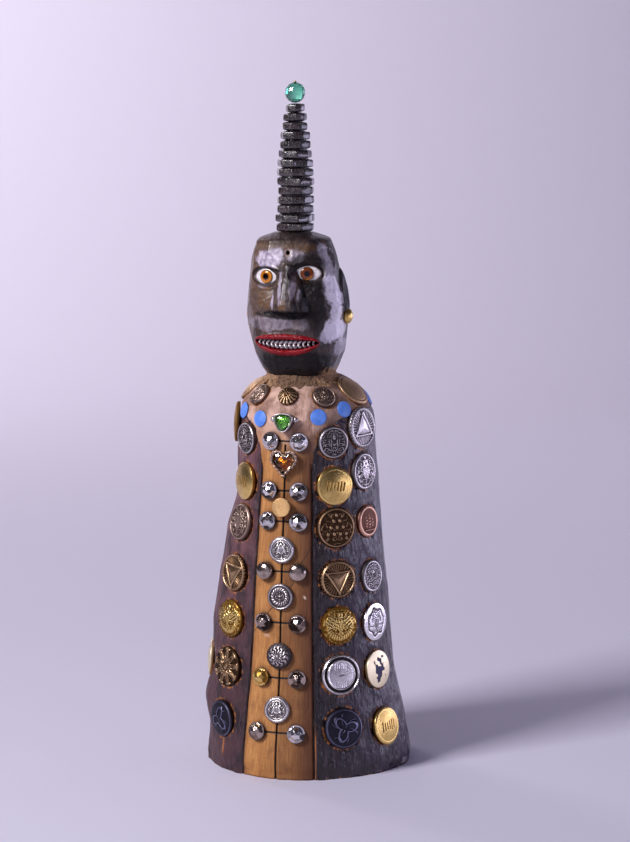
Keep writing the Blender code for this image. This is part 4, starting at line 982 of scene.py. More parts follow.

# %% [markdown]
# ## Studs
#
# The studs are cut steel: small domes ground into flat facets that each throw one sharp light. Each facet
# is also given a brightness of its own, a painted reflection, so some are dark. The height is the least
# of several sloping planes, so the facets are exactly flat. One pair is plain balls.


# %% Faceted studs
def stud_grid(faceted, turned=0.0, around=48, rings=20):
    """Height = the least of a flat top, five planes that fall at 32 degrees and seven at 51, on a disc.
    A plain ball is the upper part of a sphere."""
    turn = np.arange(around) * 2 * np.pi / around
    u = np.linspace(0, 1, rings)[:, None]
    x, y = u * np.cos(turn), u * np.sin(turn)
    tones = np.random.default_rng(int(turned * 10) % 97 + 5)
    painted_facet_reflection = np.full(x.shape, 0.55)
    if faceted:
        top = np.full(x.shape, 1.0)
        for count, offset, slope, start in ((5, 0.0, 0.62, 0.12), (7, 15.0, 1.25, 0.52)):
            for k in range(count):
                t = np.radians(k * 360 / count + offset + turned)
                outward_share = x * np.cos(t) + y * np.sin(t)
                plane = 1.0 - 0.24 * (count == 7) - slope * (outward_share - start)
                # Each facet gets a painted reflection: a brightness of its own, from near black to bright.
                painted_facet_reflection = np.where(plane < top, tones.choice([0.08, 0.3, 0.5, 0.7, 1.0]), painted_facet_reflection)
                top = np.minimum(top, plane)
    else:
        top = 0.42 + 0.58 * np.sqrt(np.clip(1 - (u * 0.985) ** 2, 0, 1)) + x * 0
    top = np.clip(top, 0.40, 1.0) * STUD_HEIGHT
    face = np.stack([x * STUD_RADIUS, y * STUD_RADIUS, top], axis=-1)
    share = np.array([[0.98, 0.28], [0.90, 0.10], [0.84, 0.0]])
    side = np.empty((3, around, 3))
    side[..., 0] = np.cos(turn) * share[:, :1] * STUD_RADIUS
    side[..., 1] = np.sin(turn) * share[:, :1] * STUD_RADIUS
    side[..., 2] = share[:, 1:] * STUD_HEIGHT
    marks = np.concatenate([painted_facet_reflection, np.full((3, around), 0.05)])
    return np.concatenate([face, side]), marks


STUD_FINISHES = {
    -1: (dark_steel, gilt_brass, dark_steel, dark_steel, cut_steel, cut_steel, cut_steel),
    1: (cut_steel, dark_steel, dark_steel, dark_steel, cut_steel, cut_steel, cut_steel),
}
for side, word in ((-1, "left"), (1, "right")):
    for place, (row, finish) in enumerate(zip(STUD_ROWS, STUD_FINISHES[side]), start=1):
        seat = robe_seat(side * STUD_HALF_ANGLE + PANEL_TURN, row, sunk=-CLEARANCE)
        points, raised = stud_grid(place != 4, turned=place * 11 + side * 7)
        node_name = f"stud_{word}_{place}"
        name = f"{node_name}_{'cut' if place != 4 else 'ball'}"
        add_piece(
            name, [put(points, seat)], finish, {"relief": [raised]}, smooth=place == 4,
            instead_of=node_name,
        )  # fmt: skip

# %% [markdown]
# ## Hearts
#
# Two glass hearts sit in metal cups. The amber one has a deep cup edged with round grains, and gold
# foil under dark glass. The green one is paler glass in a thick plain cup with a small ball either side.


# %% Shape of a heart
def heart_line(half, around, plump=0.0):
    """x = -h sin3 t and y = h (13 cos t - 5 cos 2t - 2 cos 3t - cos 4t) / 14.5 + 0.16 h, anticlockwise.
    At plump 1 it is nearly round: x = -h sin t (1 + 0.15 cos t) and y = h (cos t - 0.16 cos 2t) + 0.1 h."""
    t = np.arange(around) * 2 * np.pi / around
    up = 13 * np.cos(t) - 5 * np.cos(2 * t) - 2 * np.cos(3 * t) - np.cos(4 * t)
    heart = np.stack([-np.sin(t) ** 3, up / 14.5 + 0.16], axis=-1)
    rounded = np.stack([-np.sin(t) * (1 + 0.15 * np.cos(t)), np.cos(t) - 0.16 * np.cos(2 * t) + 0.1], axis=-1)
    return half * (heart * (1 - plump) + rounded * plump)


def heart_rows(steps, around, plump=0.0):
    """Rows of a heart-shaped turning: each step is (half width, height)."""
    rows = [np.column_stack([heart_line(half, around, plump), np.full(around, z)]) for half, z in steps]
    return np.stack(rows)


def ball_grid(middle, radius, rings=8, around=12):
    """Sphere: x = r sin a cos t, y = r sin a sin t, z = r cos a, about its middle."""
    a = np.linspace(0, np.pi, rings)[:, None]
    t = np.arange(around) * 2 * np.pi / around
    ball = np.stack([np.sin(a) * np.cos(t), np.sin(a) * np.sin(t), np.cos(a) + 0 * t], axis=-1)
    return ball * radius + np.asarray(middle)


# %% Glass finishes
def clear_glass(name, tint, rough=0.02):
    """Cast glass: it bends light, keeps a sharp highlight, and its colour deepens with thickness."""
    finish, node = start_finish(name)
    ripple = patches(node, 2.2, detail=2.0)
    inputs = {
        "Base Color": colour(tint),
        "Transmission Weight": 1.0,
        "IOR": 1.52,
        "Roughness": rough,
        "Normal": node("Bump", named={"Height": ripple, "Distance": 0.00006}),
    }
    node("OutputMaterial", node("BsdfPrincipled", named=inputs))
    return finish


green_glass = clear_glass("glass_green_cast", "#bdeba0")
amber_glass = clear_glass("glass_amber_cast", "#fde0a8", rough=0.03)
sea_glass = clear_glass("glass_sea_green_cut", "#74cfac")


def foil(name, light, deep):
    """Crumpled metal foil behind a stone: small bright flecks on a deep ground."""
    finish, node = start_finish(name)
    flecks = patches(node, 2.4, rough=0.6)
    tone = coat_over(node, colour(deep), light, flecks, 0.48, 0.60)
    crumple = node("Bump", named={"Height": flecks, "Distance": 0.0006})
    inputs = {"Base Color": tone, "Metallic": 1.0, "Roughness": 0.25, "Normal": crumple}
    node("OutputMaterial", node("BsdfPrincipled", named=inputs))
    return finish


amber_foil = foil("foil_gold_behind_amber", "#ffcf6a", "#8c4c12")
green_foil = foil("foil_silver_behind_green", "#f4ffe8", "#c4e8ac")

# %% Settings and stones
HEARTS = (
    ("amber", 0.796, 0.0165, 0.0030, coin_metal, amber_glass, amber_foil, "brass"),
    ("green", 0.900, 0.0116, 0.0058, dull_silver, green_glass, green_foil, "blackened"),
)
WALLS = {"amber": 0.0012, "green": 0.0008}
STONE_DEPTH = {"amber": 0.0026, "green": 0.0022}
foot = SHANK_SEAT + CLEARANCE
for word, row, width, thickness, metal, glass, backing, slot in HEARTS:
    seat = robe_seat(PANEL_TURN, row, sunk=SHANK_SEAT - CLEARANCE)
    half, top, plump = width / 2, foot + thickness, 1.0 if word == "green" else 0.0
    floor = top - STONE_DEPTH[word]
    inner = half - WALLS[word]
    steps = (
        (0, floor), (inner * 0.97, floor), (inner, floor + 0.0003),
        (inner, top - 0.0002), (inner + 0.0003, top), (half - 0.0003, top),
        (half, top - 0.0003), (half * 0.985, foot + 0.0003), (half * 0.94, foot),
    )  # fmt: skip
    cup = heart_rows(steps, 96, plump)
    ends = np.zeros((2, 96, 3))
    ends[..., 2] = np.array([foot, 0.0])[:, None]
    round_shank = np.arange(96) * 2 * np.pi / 96 + np.pi / 2
    ends[..., 0] = SHANK_RADIUS * np.cos(round_shank)
    ends[..., 1] = SHANK_RADIUS * np.sin(round_shank)
    cup = np.concatenate([cup, ends])
    cup_marks = np.broadcast_to(np.array([0.1, 0.1, 0.2, 0.8, 1, 1, 0.7, 0, 0, 0, 0])[:, None], cup.shape[:2])
    grids, marks = [cup], [cup_marks]
    if word == "amber":
        line = heart_line(half - 0.0002, 960)
        gone = np.concatenate([[0], np.cumsum(np.linalg.norm(np.roll(line, -1, axis=0) - line, axis=1))])
        for share in (np.arange(22) + 0.5) / 22:
            x, y = line[np.searchsorted(gone, share * gone[-1]) % 960]
            grids.append(ball_grid((x, y, top - 0.0004), 0.00095, 7, 10))
            marks.append(np.full((7, 10), 0.95))
    else:
        for side in (-1, 1):
            grids.append(ball_grid((side * (half + 0.0011), width * 0.16, foot + 0.0019), 0.0018, 12, 20))
            marks.append(np.full((12, 20), 0.95))
    grids, marks = [put(grid, seat) for grid in grids], {"relief": marks}
    add_piece(f"heart_cup_{word}", grids, metal, marks, instead_of=f"heart_setting_{word}")
    steps = ((0, floor + 0.0004), (inner * 0.9, floor + 0.0003), (inner * 0.9, floor + 0.0001))
    bed = heart_rows(steps, 48, plump)
    add_piece(f"heart_foil_{word}", [put(bed, seat)], backing)
    inner -= CLEARANCE / 2
    low = floor + 0.0006
    if word == "amber":
        steps = (
            (0, top - 0.0003), (inner * 0.42, top - 0.0002), (inner * 0.72, top - 0.0004),
            (inner, top - 0.0011), (inner * 0.8, low + 0.0003), (inner * 0.5, low),
        )  # fmt: skip
    else:
        steps = (
            (0, top + 0.0011), (inner * 0.45, top + 0.0010), (inner * 0.8, top + 0.0006),
            (inner * 0.95, top + 0.0001), (inner, top - 0.0004), (inner * 0.85, low + 0.0002),
            (inner * 0.5, low),
        )  # fmt: skip
    round_cut = word == "green"
    stone = heart_rows(steps, 96 if round_cut else 20, plump)
    if word == "amber":
        stone[2:4, ::2, 2] += 0.0002
    stone, stands = [put(stone, seat)], f"heart_stone_{word}"
    add_piece(f"heart_glass_{word}", stone, glass, smooth=round_cut, instead_of=stands)
print("amber heart's stone is", round((HEARTS[0][2] - 2 * WALLS["amber"]) * 1000, 1), "mm wide")

# %% [markdown]
# ## Blue tacks
#
# Flat-headed tacks with blue enamel follow the edge of the yoke. Enamel is glass on metal: one even
# colour, a sharp highlight, and small chips along its edge where the metal shows.

# %% Enamelled tacks
blue_enamel, node = start_finish("enamel_blue_on_tacks")
edge = node("Attribute", attribute_name="relief", give="Fac")
chipped = node("Math", edge, node("Math", patches(node, 1.4), 0.5, **TIMES), **PLUS)
tone = coat_over(node, colour("#4d7fd8"), "#6b98ea", patches(node, 5.0), 0.3, 0.7)
tone = coat_over(node, tone, "#2c3550", chipped, 1.22, 1.30)
worn = patches(node, 0.8)
inputs = {
    "Base Color": tone,
    "Roughness": node("MapRange", worn, 0.3, 0.7, 0.28, 0.42, **SMOOTH),
    "Normal": node("Bump", named={"Height": worn, "Distance": 0.00005}),
}
node("OutputMaterial", node("BsdfPrincipled", named=inputs))
for place, (at_angle, row) in enumerate(TACKS, start=1):
    points, _ = button_grid(TACK_RADIUS, lambda x, y: x * 0, 0.0005, 0.0, edge=0.0008, rings=12, around=64)
    u = np.hypot(points[..., 0], points[..., 1]) / TACK_RADIUS
    seat = robe_seat(at_angle, row, sunk=0.0002)
    add_piece(f"yoke_tack_{place}", [put(points, seat)], blue_enamel, {"relief": [u**6]})
print("tacks:", len(TACKS))

# %% [markdown]
# ## The head
#
# The head is a separate block, squarish in plan, cut with a knife in flat planes and painted. Its
# features are moves of the front surface: a wedge for the nose, hollows for the eyes, a slot for the
# mouth with lips round it. The eyes, teeth and earrings are pieces of their own.

# %% The plain block of the head
HEAD_HEIGHT = 0.0875
HEAD_HALF_WIDTH = 0.0287
HEAD_HALF_DEPTH = 0.0275
HEAD_X, HEAD_Y, HEAD_LEAN, HEAD_TURN = -0.0014, -0.0060, -0.0048, 4
HEAD_SQUARENESS = 2.7
HEAD_PROFILE = (
    (0, 0.62), (0.03, 0.70), (0.08, 0.79), (0.14, 0.87), (0.24, 0.955), (0.33, 1), (0.42, 1.01),
    (0.50, 1.015), (0.58, 0.995), (0.66, 0.96), (0.72, 0.935), (0.78, 0.89), (0.85, 0.845),
    (0.92, 0.775), (0.965, 0.70), (1, 0.42),
)  # fmt: skip
head_seat = np.eye(4)
c, s = math.cos(math.radians(HEAD_TURN)), math.sin(math.radians(HEAD_TURN))
head_seat[:2, :2] = ((c, -s), (s, c))
head_seat[:3, 3] = (HEAD_X, HEAD_Y, ROBE_HEIGHT + CLEARANCE)
EYE_HEIGHTS = {-1: 0.710, 1: 0.735}
EYE_OFFSET = 0.45 * HEAD_HALF_WIDTH


def face_relief(x, height):
    """Brow hump - two eye hollows + muzzle hump, in metres out of the block."""
    relief = 0.0014 * hump(height - 0.81, 0.09)
    for side, eye_height in EYE_HEIGHTS.items():
        away = np.hypot(x - side * EYE_OFFSET, (height - eye_height) * HEAD_HEIGHT)
        relief = relief - 0.0022 * hump(away, 0.0150)
    return relief + 0.0026 * hump(height - 0.22, 0.44 * 0.62) ** 0.5


def head_surface(angle, height):
    """x = w sin(a)^p and y = -d cos(a)^p with p = 2 / 2.7, a squared circle, and the face's relief on it."""
    angle, height = np.broadcast_arrays(np.asarray(angle, float), np.asarray(height, float))
    share = read_curve(HEAD_PROFILE, height)
    turn = np.radians(angle)
    power = 2 / HEAD_SQUARENESS
    x = HEAD_HALF_WIDTH * share * np.sign(np.sin(turn)) * np.abs(np.sin(turn)) ** power
    y = -HEAD_HALF_DEPTH * share * np.sign(np.cos(turn)) * np.abs(np.cos(turn)) ** power
    front = np.minimum(1, 1.6 * hump(angle, 75))
    y = y - face_relief(x, height) * front
    return np.stack([x + HEAD_LEAN * height, y, height * HEAD_HEIGHT], axis=-1)


def face_place(x, height):
    """The face's point at an offset x from its middle: the squared circle solved for y."""
    x, height = np.broadcast_arrays(np.asarray(x, float), np.asarray(height, float))
    share = read_curve(HEAD_PROFILE, height)
    sine = np.clip(np.abs(x) / (HEAD_HALF_WIDTH * share), 0, 1) ** (HEAD_SQUARENESS / 2)
    cosine = np.sqrt(1 - sine**2)
    front = np.minimum(1, 1.6 * hump(np.degrees(np.arcsin(sine)), 75))
    y = -HEAD_HALF_DEPTH * share * cosine ** (2 / HEAD_SQUARENESS) - face_relief(x, height) * front
    return np.stack([x + HEAD_LEAN * height, y, height * HEAD_HEIGHT], axis=-1)


print("head half width at the ears, mm:", round(float(head_surface(90, 0.5)[0]) * 1000, 1))

# %% The head's grid
dense = np.linspace(-180, 180, 7201)
walk = head_surface(dense, 0.5)
step_mm = np.linalg.norm(np.diff(walk[:, :2], axis=0), axis=1) * 1000
wanted = np.where(np.abs(dense[1:]) < 62, 0.40, np.where(np.abs(dense[1:]) < 112, 0.62, 1.15))
travelled = np.concatenate([[0], np.cumsum(step_mm / wanted)])
head_angles = np.interp(np.linspace(0, travelled[-1], int(travelled[-1])), travelled, dense)[:-1]
head_levels = stretch_steps(0, 1, (0.27, 0.48, 0.72), 0.0088, 0.0040, 0.055)[::-1]
angle, height = np.meshgrid(head_angles, head_levels)
head = head_surface(angle, height)
across_mm = (head[..., 0] - HEAD_LEAN * height) * 1000
up_mm = height * HEAD_HEIGHT * 1000
in_front = hump(angle, 88) > 0.0
print("head grid:", head.shape[:2])

# %% Knife planes
# The block inside a ring of flat cuts: along each ray from the axis, the nearest of the planes that
# touch the block within 15 mm wins.
CUTS = 150
CUT_REACH = 0.015
spots = np.random.default_rng(7)
cut_angles = spots.uniform(-180, 180, CUTS)
cut_heights = spots.uniform(0.02, 0.98, CUTS)
cut_places = head_surface(cut_angles, cut_heights)
ahead = head_surface(cut_angles + 1.5, cut_heights) - head_surface(cut_angles - 1.5, cut_heights)
above = head_surface(cut_angles, cut_heights + 0.02) - head_surface(cut_angles, cut_heights - 0.02)
cut_normals = unit(unit(np.cross(ahead, above)) + spots.normal(0, 0.05, (CUTS, 3)))
axis_point = np.stack([HEAD_LEAN * height, 0 * height, height * HEAD_HEIGHT], axis=-1)
ray = head - axis_point
reach = np.full(height.shape, 9.0)
for place, normal in zip(cut_places, cut_normals):
    facing = ray @ normal
    distance = (place - axis_point) @ normal
    near = (np.linalg.norm(head - place, axis=-1) < CUT_REACH) & (facing > 0.005)
    reach = np.where(near, np.minimum(reach, distance / np.maximum(facing, 0.005)), reach)
planes = np.clip(reach, 0.965, 1.03)
feature_zone = hump(angle, 66) * hump(height - 0.5, 0.52)
keep = 0.85 - 0.45 * feature_zone
keep = keep * step_up(height, 0.0, 0.08) * step_up(1 - height, 0.0, 0.06)
head[..., :2] = axis_point[..., :2] + ray[..., :2] * (1 + (planes - np.median(planes)) * keep)[..., None]
print("planes move the surface by", round(float(np.ptp(planes)) * 28, 2), "mm at most")

# %% Nose
NOSE_X, NOSE_TOP, NOSE_FOOT = 2.2, 0.800, 0.480
NOSE_SECTIONS = ((0.0, 1.0, 1.0), (0.16, 0.96, 1.0), (0.6, 0.52, 0.62), (1.0, 0.0, 0.12))
nose_share = (height - NOSE_FOOT) / (NOSE_TOP - NOSE_FOOT)
shares, widths, reaches = zip(*NOSE_SECTIONS)
half_nose = (5.0 + np.interp(nose_share, shares, widths) * 17.5) / 2
off_ridge = np.abs(across_mm - NOSE_X) / half_nose
wedge = np.interp(off_ridge, (0, 0.30, 1.0, 1.10), (1.0, 0.98, 0.33, 0.0))
wedge *= 8.0 * np.interp(nose_share, shares, reaches)
middle_y = face_place(NOSE_X / 1000, height)[..., 1]
wings = ridge(off_ridge - 0.52, 0.14) * hump(nose_share - 0.10, 0.42) * 1.3
wedge = wedge - wings * (off_ridge < 1)
nose_y = middle_y - wedge / 1000
on_nose = (off_ridge < 1.05) * step_up(nose_share, -0.016, 0.0) * (nose_share < 1.0) * in_front
nose_y = nose_y * on_nose + (1 - on_nose) * 9
head[..., 1] = np.minimum(head[..., 1], np.where(on_nose > 0.02, nose_y, 9))
print("nose stands out", round(float(wedge.max()), 1), "mm")

# %% Eye hollows, brow edge and the hole in the brow
HOLLOW_LONG, HOLLOW_TALL = 10.0, 6.3
eye_gap = np.full(height.shape, 30.0)
for side, eye_height in EYE_HEIGHTS.items():
    along = (across_mm - side * EYE_OFFSET * 1000) / HOLLOW_LONG
    off_up = (up_mm - eye_height * HEAD_HEIGHT * 1000) / HOLLOW_TALL
    round_off = np.hypot(along, off_up)
    hollow = 2.6 * np.sqrt(np.clip(1 - round_off**2, 0, 1)) ** 0.7
    lid = 0.55 * ridge(round_off - 1.08, 0.16)
    head[..., 1] += (hollow - lid) / 1000 * in_front
    eye_gap = np.minimum(eye_gap, (round_off - 1) * HOLLOW_TALL)
hole_gap = np.hypot(across_mm - NOSE_X + 0.4, up_mm - 0.875 * HEAD_HEIGHT * 1000) - 1.1
hole_gap = np.where(in_front, hole_gap, 30.0)
head[..., 1] += 0.004 * step_up(-hole_gap, -0.1, 0.35)
head[..., 1] += 0.0004 * step_up(-hole_gap, -2.2, -0.4)

# %% Mouth
MOUTH_X, MOUTH_HEIGHT, MOUTH_HALF, MOUTH_OPEN, MOUTH_DROP = -1.2, 0.270, 19.8, 3.4, 1.6
from_mouth = across_mm - MOUTH_X
rise = up_mm - MOUTH_HEIGHT * HEAD_HEIGHT * 1000
lip_gap = np.full(height.shape, 1.5)
for _ in range(6):
    cosine = np.clip(from_mouth / (MOUTH_HALF + 0.35 * np.maximum(lip_gap, 0)), -1, 1)
    sine = np.sqrt(1 - cosine**2)
    found = np.abs(rise + MOUTH_DROP * sine**2) / np.maximum(sine, 0.03) ** 1.2 - MOUTH_OPEN
    lip_gap = 0.5 * lip_gap + 0.5 * np.clip(found, -4, 30)
lip_gap = np.where(in_front & (np.abs(from_mouth) < MOUTH_HALF + 1.1), lip_gap, 30.0)
lip_places = (-1.2, -0.5, 0.0, 0.6, 1.5, 2.6, 3.4, 3.9)
lips = np.interp(lip_gap, lip_places, (-5.0, -3.0, 0.9, 1.5, 1.7, 1.2, 0.25, 0))
corner = step_up(MOUTH_HALF + 1.0 - np.abs(from_mouth), 0, 2.0)
head[..., 1] -= lips * corner / 1000
print("mouth is", MOUTH_HALF * 2, "mm wide")

# %% Ears
ear_side = np.sign(across_mm)
ear_y = (head[..., 1] * 1000 - 3.0 - 1.5) / 7.5
ear_z = (up_mm - 0.58 * HEAD_HEIGHT * 1000) / 15.5
around_ear = np.hypot(ear_y, ear_z)
on_ear = (np.abs(angle) > 62) & (np.abs(angle) < 122)
flap = 3.0 * np.sqrt(np.clip(1 - around_ear**2, 0, 1))
flap -= 2.4 * hump(np.hypot(ear_y + 0.22, ear_z - 0.05) / 0.72, 1.0)
flap = np.where(on_ear, np.maximum(flap, 0), 0)
head[..., 0] += ear_side * flap * 0.9 / 1000
ear_gap = np.where(on_ear, (1 - around_ear) * 7.5, -9.0)

# %% Where the head's paint is worn, and where highlights and shade are painted on it
def blots(places, x, y, ragged):
    """The strongest of several soft ovals: each is (x, y, half width, half height, strength)."""
    total = np.zeros(x.shape)
    for at_x, at_y, wide, tall, strength in places:
        away = np.hypot((x - at_x) / wide, (y - at_y) / tall) + ragged
        total = np.maximum(total, strength * step_up(1.2 - away, 0, 0.35))
    return total


# Millimetres from the face's middle and up from the neck. For the side: degrees from the front, and up.
# Pale patches are painted highlights and sheen: on the brow, the nose and the upper lip, and over the right
# side.
PAINTED_SHEEN_FACE = (
    (-10.5, 72.5, 7.5, 5.0, 0.85), (-5.5, 75.5, 5.5, 4.2, 0.75), (6.0, 75.0, 6.0, 3.6, 0.4),
    (-10, 34.4, 14, 4.2, 0.30), (8, 35, 7, 4.0, 0.15), (-2.2, 56, 1.3, 9, 0.60), (-7.4, 48, 1.0, 4.5, 0.8),
    (5.6, 57, 2.1, 7.5, 0.30), (10.0, 52, 1.4, 3.5, 0.6), (12.6, 46, 1.2, 4, 0.5), (-15, 58, 3.5, 3, 0.35),
)  # fmt: skip
PAINTED_SHEEN_SIDE = (
    (62, 77, 13, 6, 0.45), (66, 68, 14, 8, 0.5), (62, 55, 15, 9, 0.95), (74, 49, 12, 8, 1.0),
    (68, 40, 13, 8, 0.8), (60, 30, 19, 6.5, 1.0), (80, 20, 13, 6, 0.45), (76, 31, 14, 6, 0.9),
    (46, 27, 8, 4.0, 0.7),
)  # fmt: skip
# Painted shade: black under the nose, the brows and the headdress, on the chin and down the right of the face
# and nose.
PAINTED_SHADE_FACE = (
    (16.0, 50, 6.5, 16, 0.95), (0, 85.5, 26, 4.5, 0.5), (4, 9.5, 25, 8.5, 0.97), (14, 69.5, 10, 6.0, 0.85),
    (0.5, 40.2, 16.5, 3.0, 1.0), (17, 39, 5, 7, 0.7), (-19, 27, 3, 9, 0.6), (3.4, 64, 1.8, 8, 0.6),
    (8.2, 45, 2.0, 5, 0.7), (18, 78, 5, 8, 0.4), (-9, 66.2, 9, 1.0, 0.9),
)  # fmt: skip
TAN_FACE = (
    (-3, 81.0, 16, 2.4, 0.7), (-12, 13, 5, 3, 0.5), (10, 13, 6, 3, 0.45), (9, 80, 8, 3.5, 0.7),
    (-13, 50, 5.0, 7, 0.9), (-0.6, 45.5, 2.8, 4, 1.0), (-5, 60, 3, 3, 0.7), (-21, 62, 3, 12, 0.4),
    (7, 34, 1.6, 3, 0.4), (20, 16, 6, 5, 0.35), (-17, 76, 5, 4, 0.5),
)  # fmt: skip
ragged = (noise(head, 0.0035, 21) - 0.5) * 0.5 + (noise(head, 0.0012, 22) - 0.5) * 0.35
on_face = step_up(70 - np.abs(angle), 0, 14)
painted_sheen = blots(PAINTED_SHEEN_FACE, across_mm, up_mm, ragged) * on_face
painted_sheen = np.maximum(painted_sheen, blots(PAINTED_SHEEN_SIDE, angle, up_mm, ragged))
painted_shade = blots(PAINTED_SHADE_FACE, across_mm, up_mm, ragged * 0.7) * on_face
tan_paint = blots(TAN_FACE, across_mm, up_mm, ragged) * on_face
print("pale paint covers", round(float(painted_sheen.mean()) * 100, 1), "% of the head's points")

# %% Marks on the head
head_marks = {
    # pale holds the painted highlights and sheen, and dark the painted shade.
    "pale": painted_sheen,
    "dark": painted_shade,
    "rubbed": tan_paint,
    "lip": lip_gap,
    "eye": eye_gap,
    "hole": hole_gap,
    "ear": ear_gap,
    "side": np.sin(np.radians(angle)),
    "front": np.cos(np.radians(angle)),
    "level": height,
}
crown_middle = np.array([HEAD_LEAN, 0.0, HEAD_HEIGHT])
crown_rings = crown_middle + (head[0] - crown_middle) * np.array([0.0, 0.35, 0.7])[:, None, None]
head_grid = np.concatenate([crown_rings, head])
head_held = {name: [np.concatenate([np.repeat(v[:1], 3, axis=0), v])] for name, v in head_marks.items()}

# %% [markdown]
# ## The head's paint
#
# The paint is dark grey-brown and half glossy. It is rubbed thin on the brow, the nose and the cheeks,
# where the tan wood glows through. Shade is painted black in the hollows, under the nose, the brows and the
# chin and down the right of the face, and highlights are painted pale lilac on the brow, the nose and the
# right side. The lips are red enamel.

# %% Painted wood of the head
head_paint, node = start_finish("oil_paint_dark_rubbed")
level, side, front, rubbed, painted_sheen_mark, painted_shade_mark, eye_mark, hole_mark, ear_mark, lip_mark = (
    node("Attribute", attribute_name=name, give="Fac")
    for name in ("level", "side", "front", "rubbed", "pale", "dark", "eye", "hole", "ear", "lip")
)
cloud = patches(node, 11.0, detail=5.0, rough=0.6)
strands = patches(node, 1.2, (1, 1, 4), detail=4.0)
speck = patches(node, 0.8)
tone = coat_over(node, colour("#2a1f20"), "#443634", cloud, 0.38, 0.64)
tone = coat_over(node, tone, "#2a2024", strands, 0.45, 0.75, 0.5)
# The left of the head is painted lighter: painted light on that side.
tone = coat_over(node, tone, "#5f4b40", side, 0.45, -0.60, 0.75)
# The wood shows where the paint is rubbed: in marked places, in a band on the brow and here and there.
off_brow = node("Math", node("Math", level, 0.93, **MINUS), **SIZE_ONLY)
brow = node("MapRange", off_brow, 0.060, 0.01, 0.0, 0.6, **SMOOTH)
rub = node("Math", brow, node("MapRange", cloud, 0.44, 0.60, **SMOOTH), **TIMES)
rubbed = node("Math", rubbed, node("MapRange", strands, 0.30, 0.62, 0.35, 1.0, **SMOOTH), **TIMES)
cheek = node("Math", node("MapRange", patches(node, 8.0), 0.60, 0.70, **SMOOTH), 0.4, **TIMES)
rub = node("Math", node("Math", rub, rubbed, **LARGEST), cheek, **LARGEST)
tone = node("Mix", node("Math", rub, 0.85, **TIMES), tone, colour("#6e4e2c"), **COLOURS)
# Pale lilac patches, grainy and hard-edged, are painted highlights and sheen on the brow, the nose and the
# upper lip, brightest over the right side of the head.
painted_sheen_tone = coat_over(node, colour("#a79bb0"), "#d9cfe0", patches(node, 2.4, (1, 1, 2)), 0.36, 0.62)
painted_sheen_tone = coat_over(node, painted_sheen_tone, "#f2eaf4", side, 0.55, 0.85)
tone = node("Mix", node("Math", painted_sheen_mark, 0.92, **TIMES), tone, painted_sheen_tone, **COLOURS)
# The painted shade goes on near black.
tone = node("Mix", node("Math", painted_shade_mark, 0.94, **TIMES), tone, colour("#0e090a"), **COLOURS)
# The underside of the chin is painted black in front: painted shade under it.
painted_chin_shade = node("MapRange", level, 0.27, 0.13, 0.0, 0.90, **SMOOTH)
painted_chin_shade = node("Math", painted_chin_shade, node("MapRange", front, 0.40, 0.80, **SMOOTH), **TIMES)
tone = node("Mix", painted_chin_shade, tone, colour("#0e090a"), **COLOURS)
tone = coat_over(node, tone, "#2b1f1d", eye_mark, 0.1, -0.6, 0.7)
tone = coat_over(node, tone, "#9b8478", node("Math", hole_mark, speck, **PLUS), 2.4, 1.3, 0.8)
tone = coat_over(node, tone, "#0a0606", hole_mark, 0.3, 0.0)
on_ear = node("MapRange", ear_mark, 0.0, 0.8, 0.0, 0.95, **SMOOTH)
tone = node("Mix", on_ear, tone, colour("#0e0a0c"), **COLOURS)
# The paint stops in a ragged line above the neck, except in front.
frayed = node("Math", patches(node, 3.0, (1, 1, 2.5), detail=4.0), 0.14, **TIMES)
bare_neck = node("MapRange", node("Math", frayed, level, **MINUS), -0.005, 0.015, **SMOOTH)
bare_neck = node("Math", bare_neck, node("MapRange", front, 0.80, 0.45, **SMOOTH), **TIMES)
fibre = node("Mix", strands, colour("#5d4331"), colour("#c79f72"), **COLOURS)
tone = node("Mix", bare_neck, tone, fibre, **COLOURS)
lip_edge = node("Math", node("Math", node("Math", speck, 0.5, **MINUS), 1.2, **TIMES), lip_mark, **PLUS)
is_lip = node("MapRange", lip_edge, 3.3, 3.0, **SMOOTH)
red = coat_over(node, colour("#960d1a"), "#58080f", speck, 0.35, 0.75)
tone = node("Mix", is_lip, tone, red, **COLOURS)
tone = coat_over(node, tone, "#0b0708", lip_mark, 0.0, -0.6)
gloss = node("MapRange", node("Math", cloud, speck, **PLUS), 0.75, 1.25, 0.28, 0.50, **SMOOTH)
dull = node("Math", node("Math", painted_shade_mark, painted_chin_shade, **LARGEST), on_ear, **LARGEST)
for where, roughness in ((painted_sheen_mark, 0.24), (dull, 0.44), (is_lip, 0.24), (bare_neck, 0.85)):
    gloss = node("Mix", where, gloss, roughness)
ridges = node("Math", node("Math", strands, 0.8, **TIMES), node("Math", speck, 0.6, **TIMES), **PLUS)
ridges = node("Math", ridges, node("Math", patches(node, 4.2, detail=1.0), 2.6, **TIMES), **PLUS)
inputs = {
    "Base Color": tone,
    "Roughness": gloss,
    "Normal": node("Bump", named={"Height": ridges, "Distance": 0.0005}),
    "Coat Weight": node("MapRange", node("Math", dull, is_lip, **LARGEST), 0.0, 1.0, 0.45, 0.02),
    "Coat Roughness": 0.2,
    "Specular IOR Level": 0.25,
}
node("OutputMaterial", node("BsdfPrincipled", named=inputs))
add_piece("head_carving", [put(head_grid, head_seat)], head_paint, head_held, instead_of="head")
print("head triangles:", triangle_counts["head_carving"])

# %% [markdown]
# ## Eyes, teeth and earrings
#
# The whites are glazed almonds set in the hollows. Each has a glass taxidermist's eye in it, amber
# round a black pupil, whose glaze keeps one sharp highlight. The teeth are two rows of small silver
# leaves, and the earrings are plain brass domes.


# %% Whites of the eyes
def eye_seat(side):
    place = face_place(side * EYE_OFFSET, EYE_HEIGHTS[side])
    return head_seat @ seat_frame(place, np.array([side * 0.22, -1.0, 0.04]), 0.0)


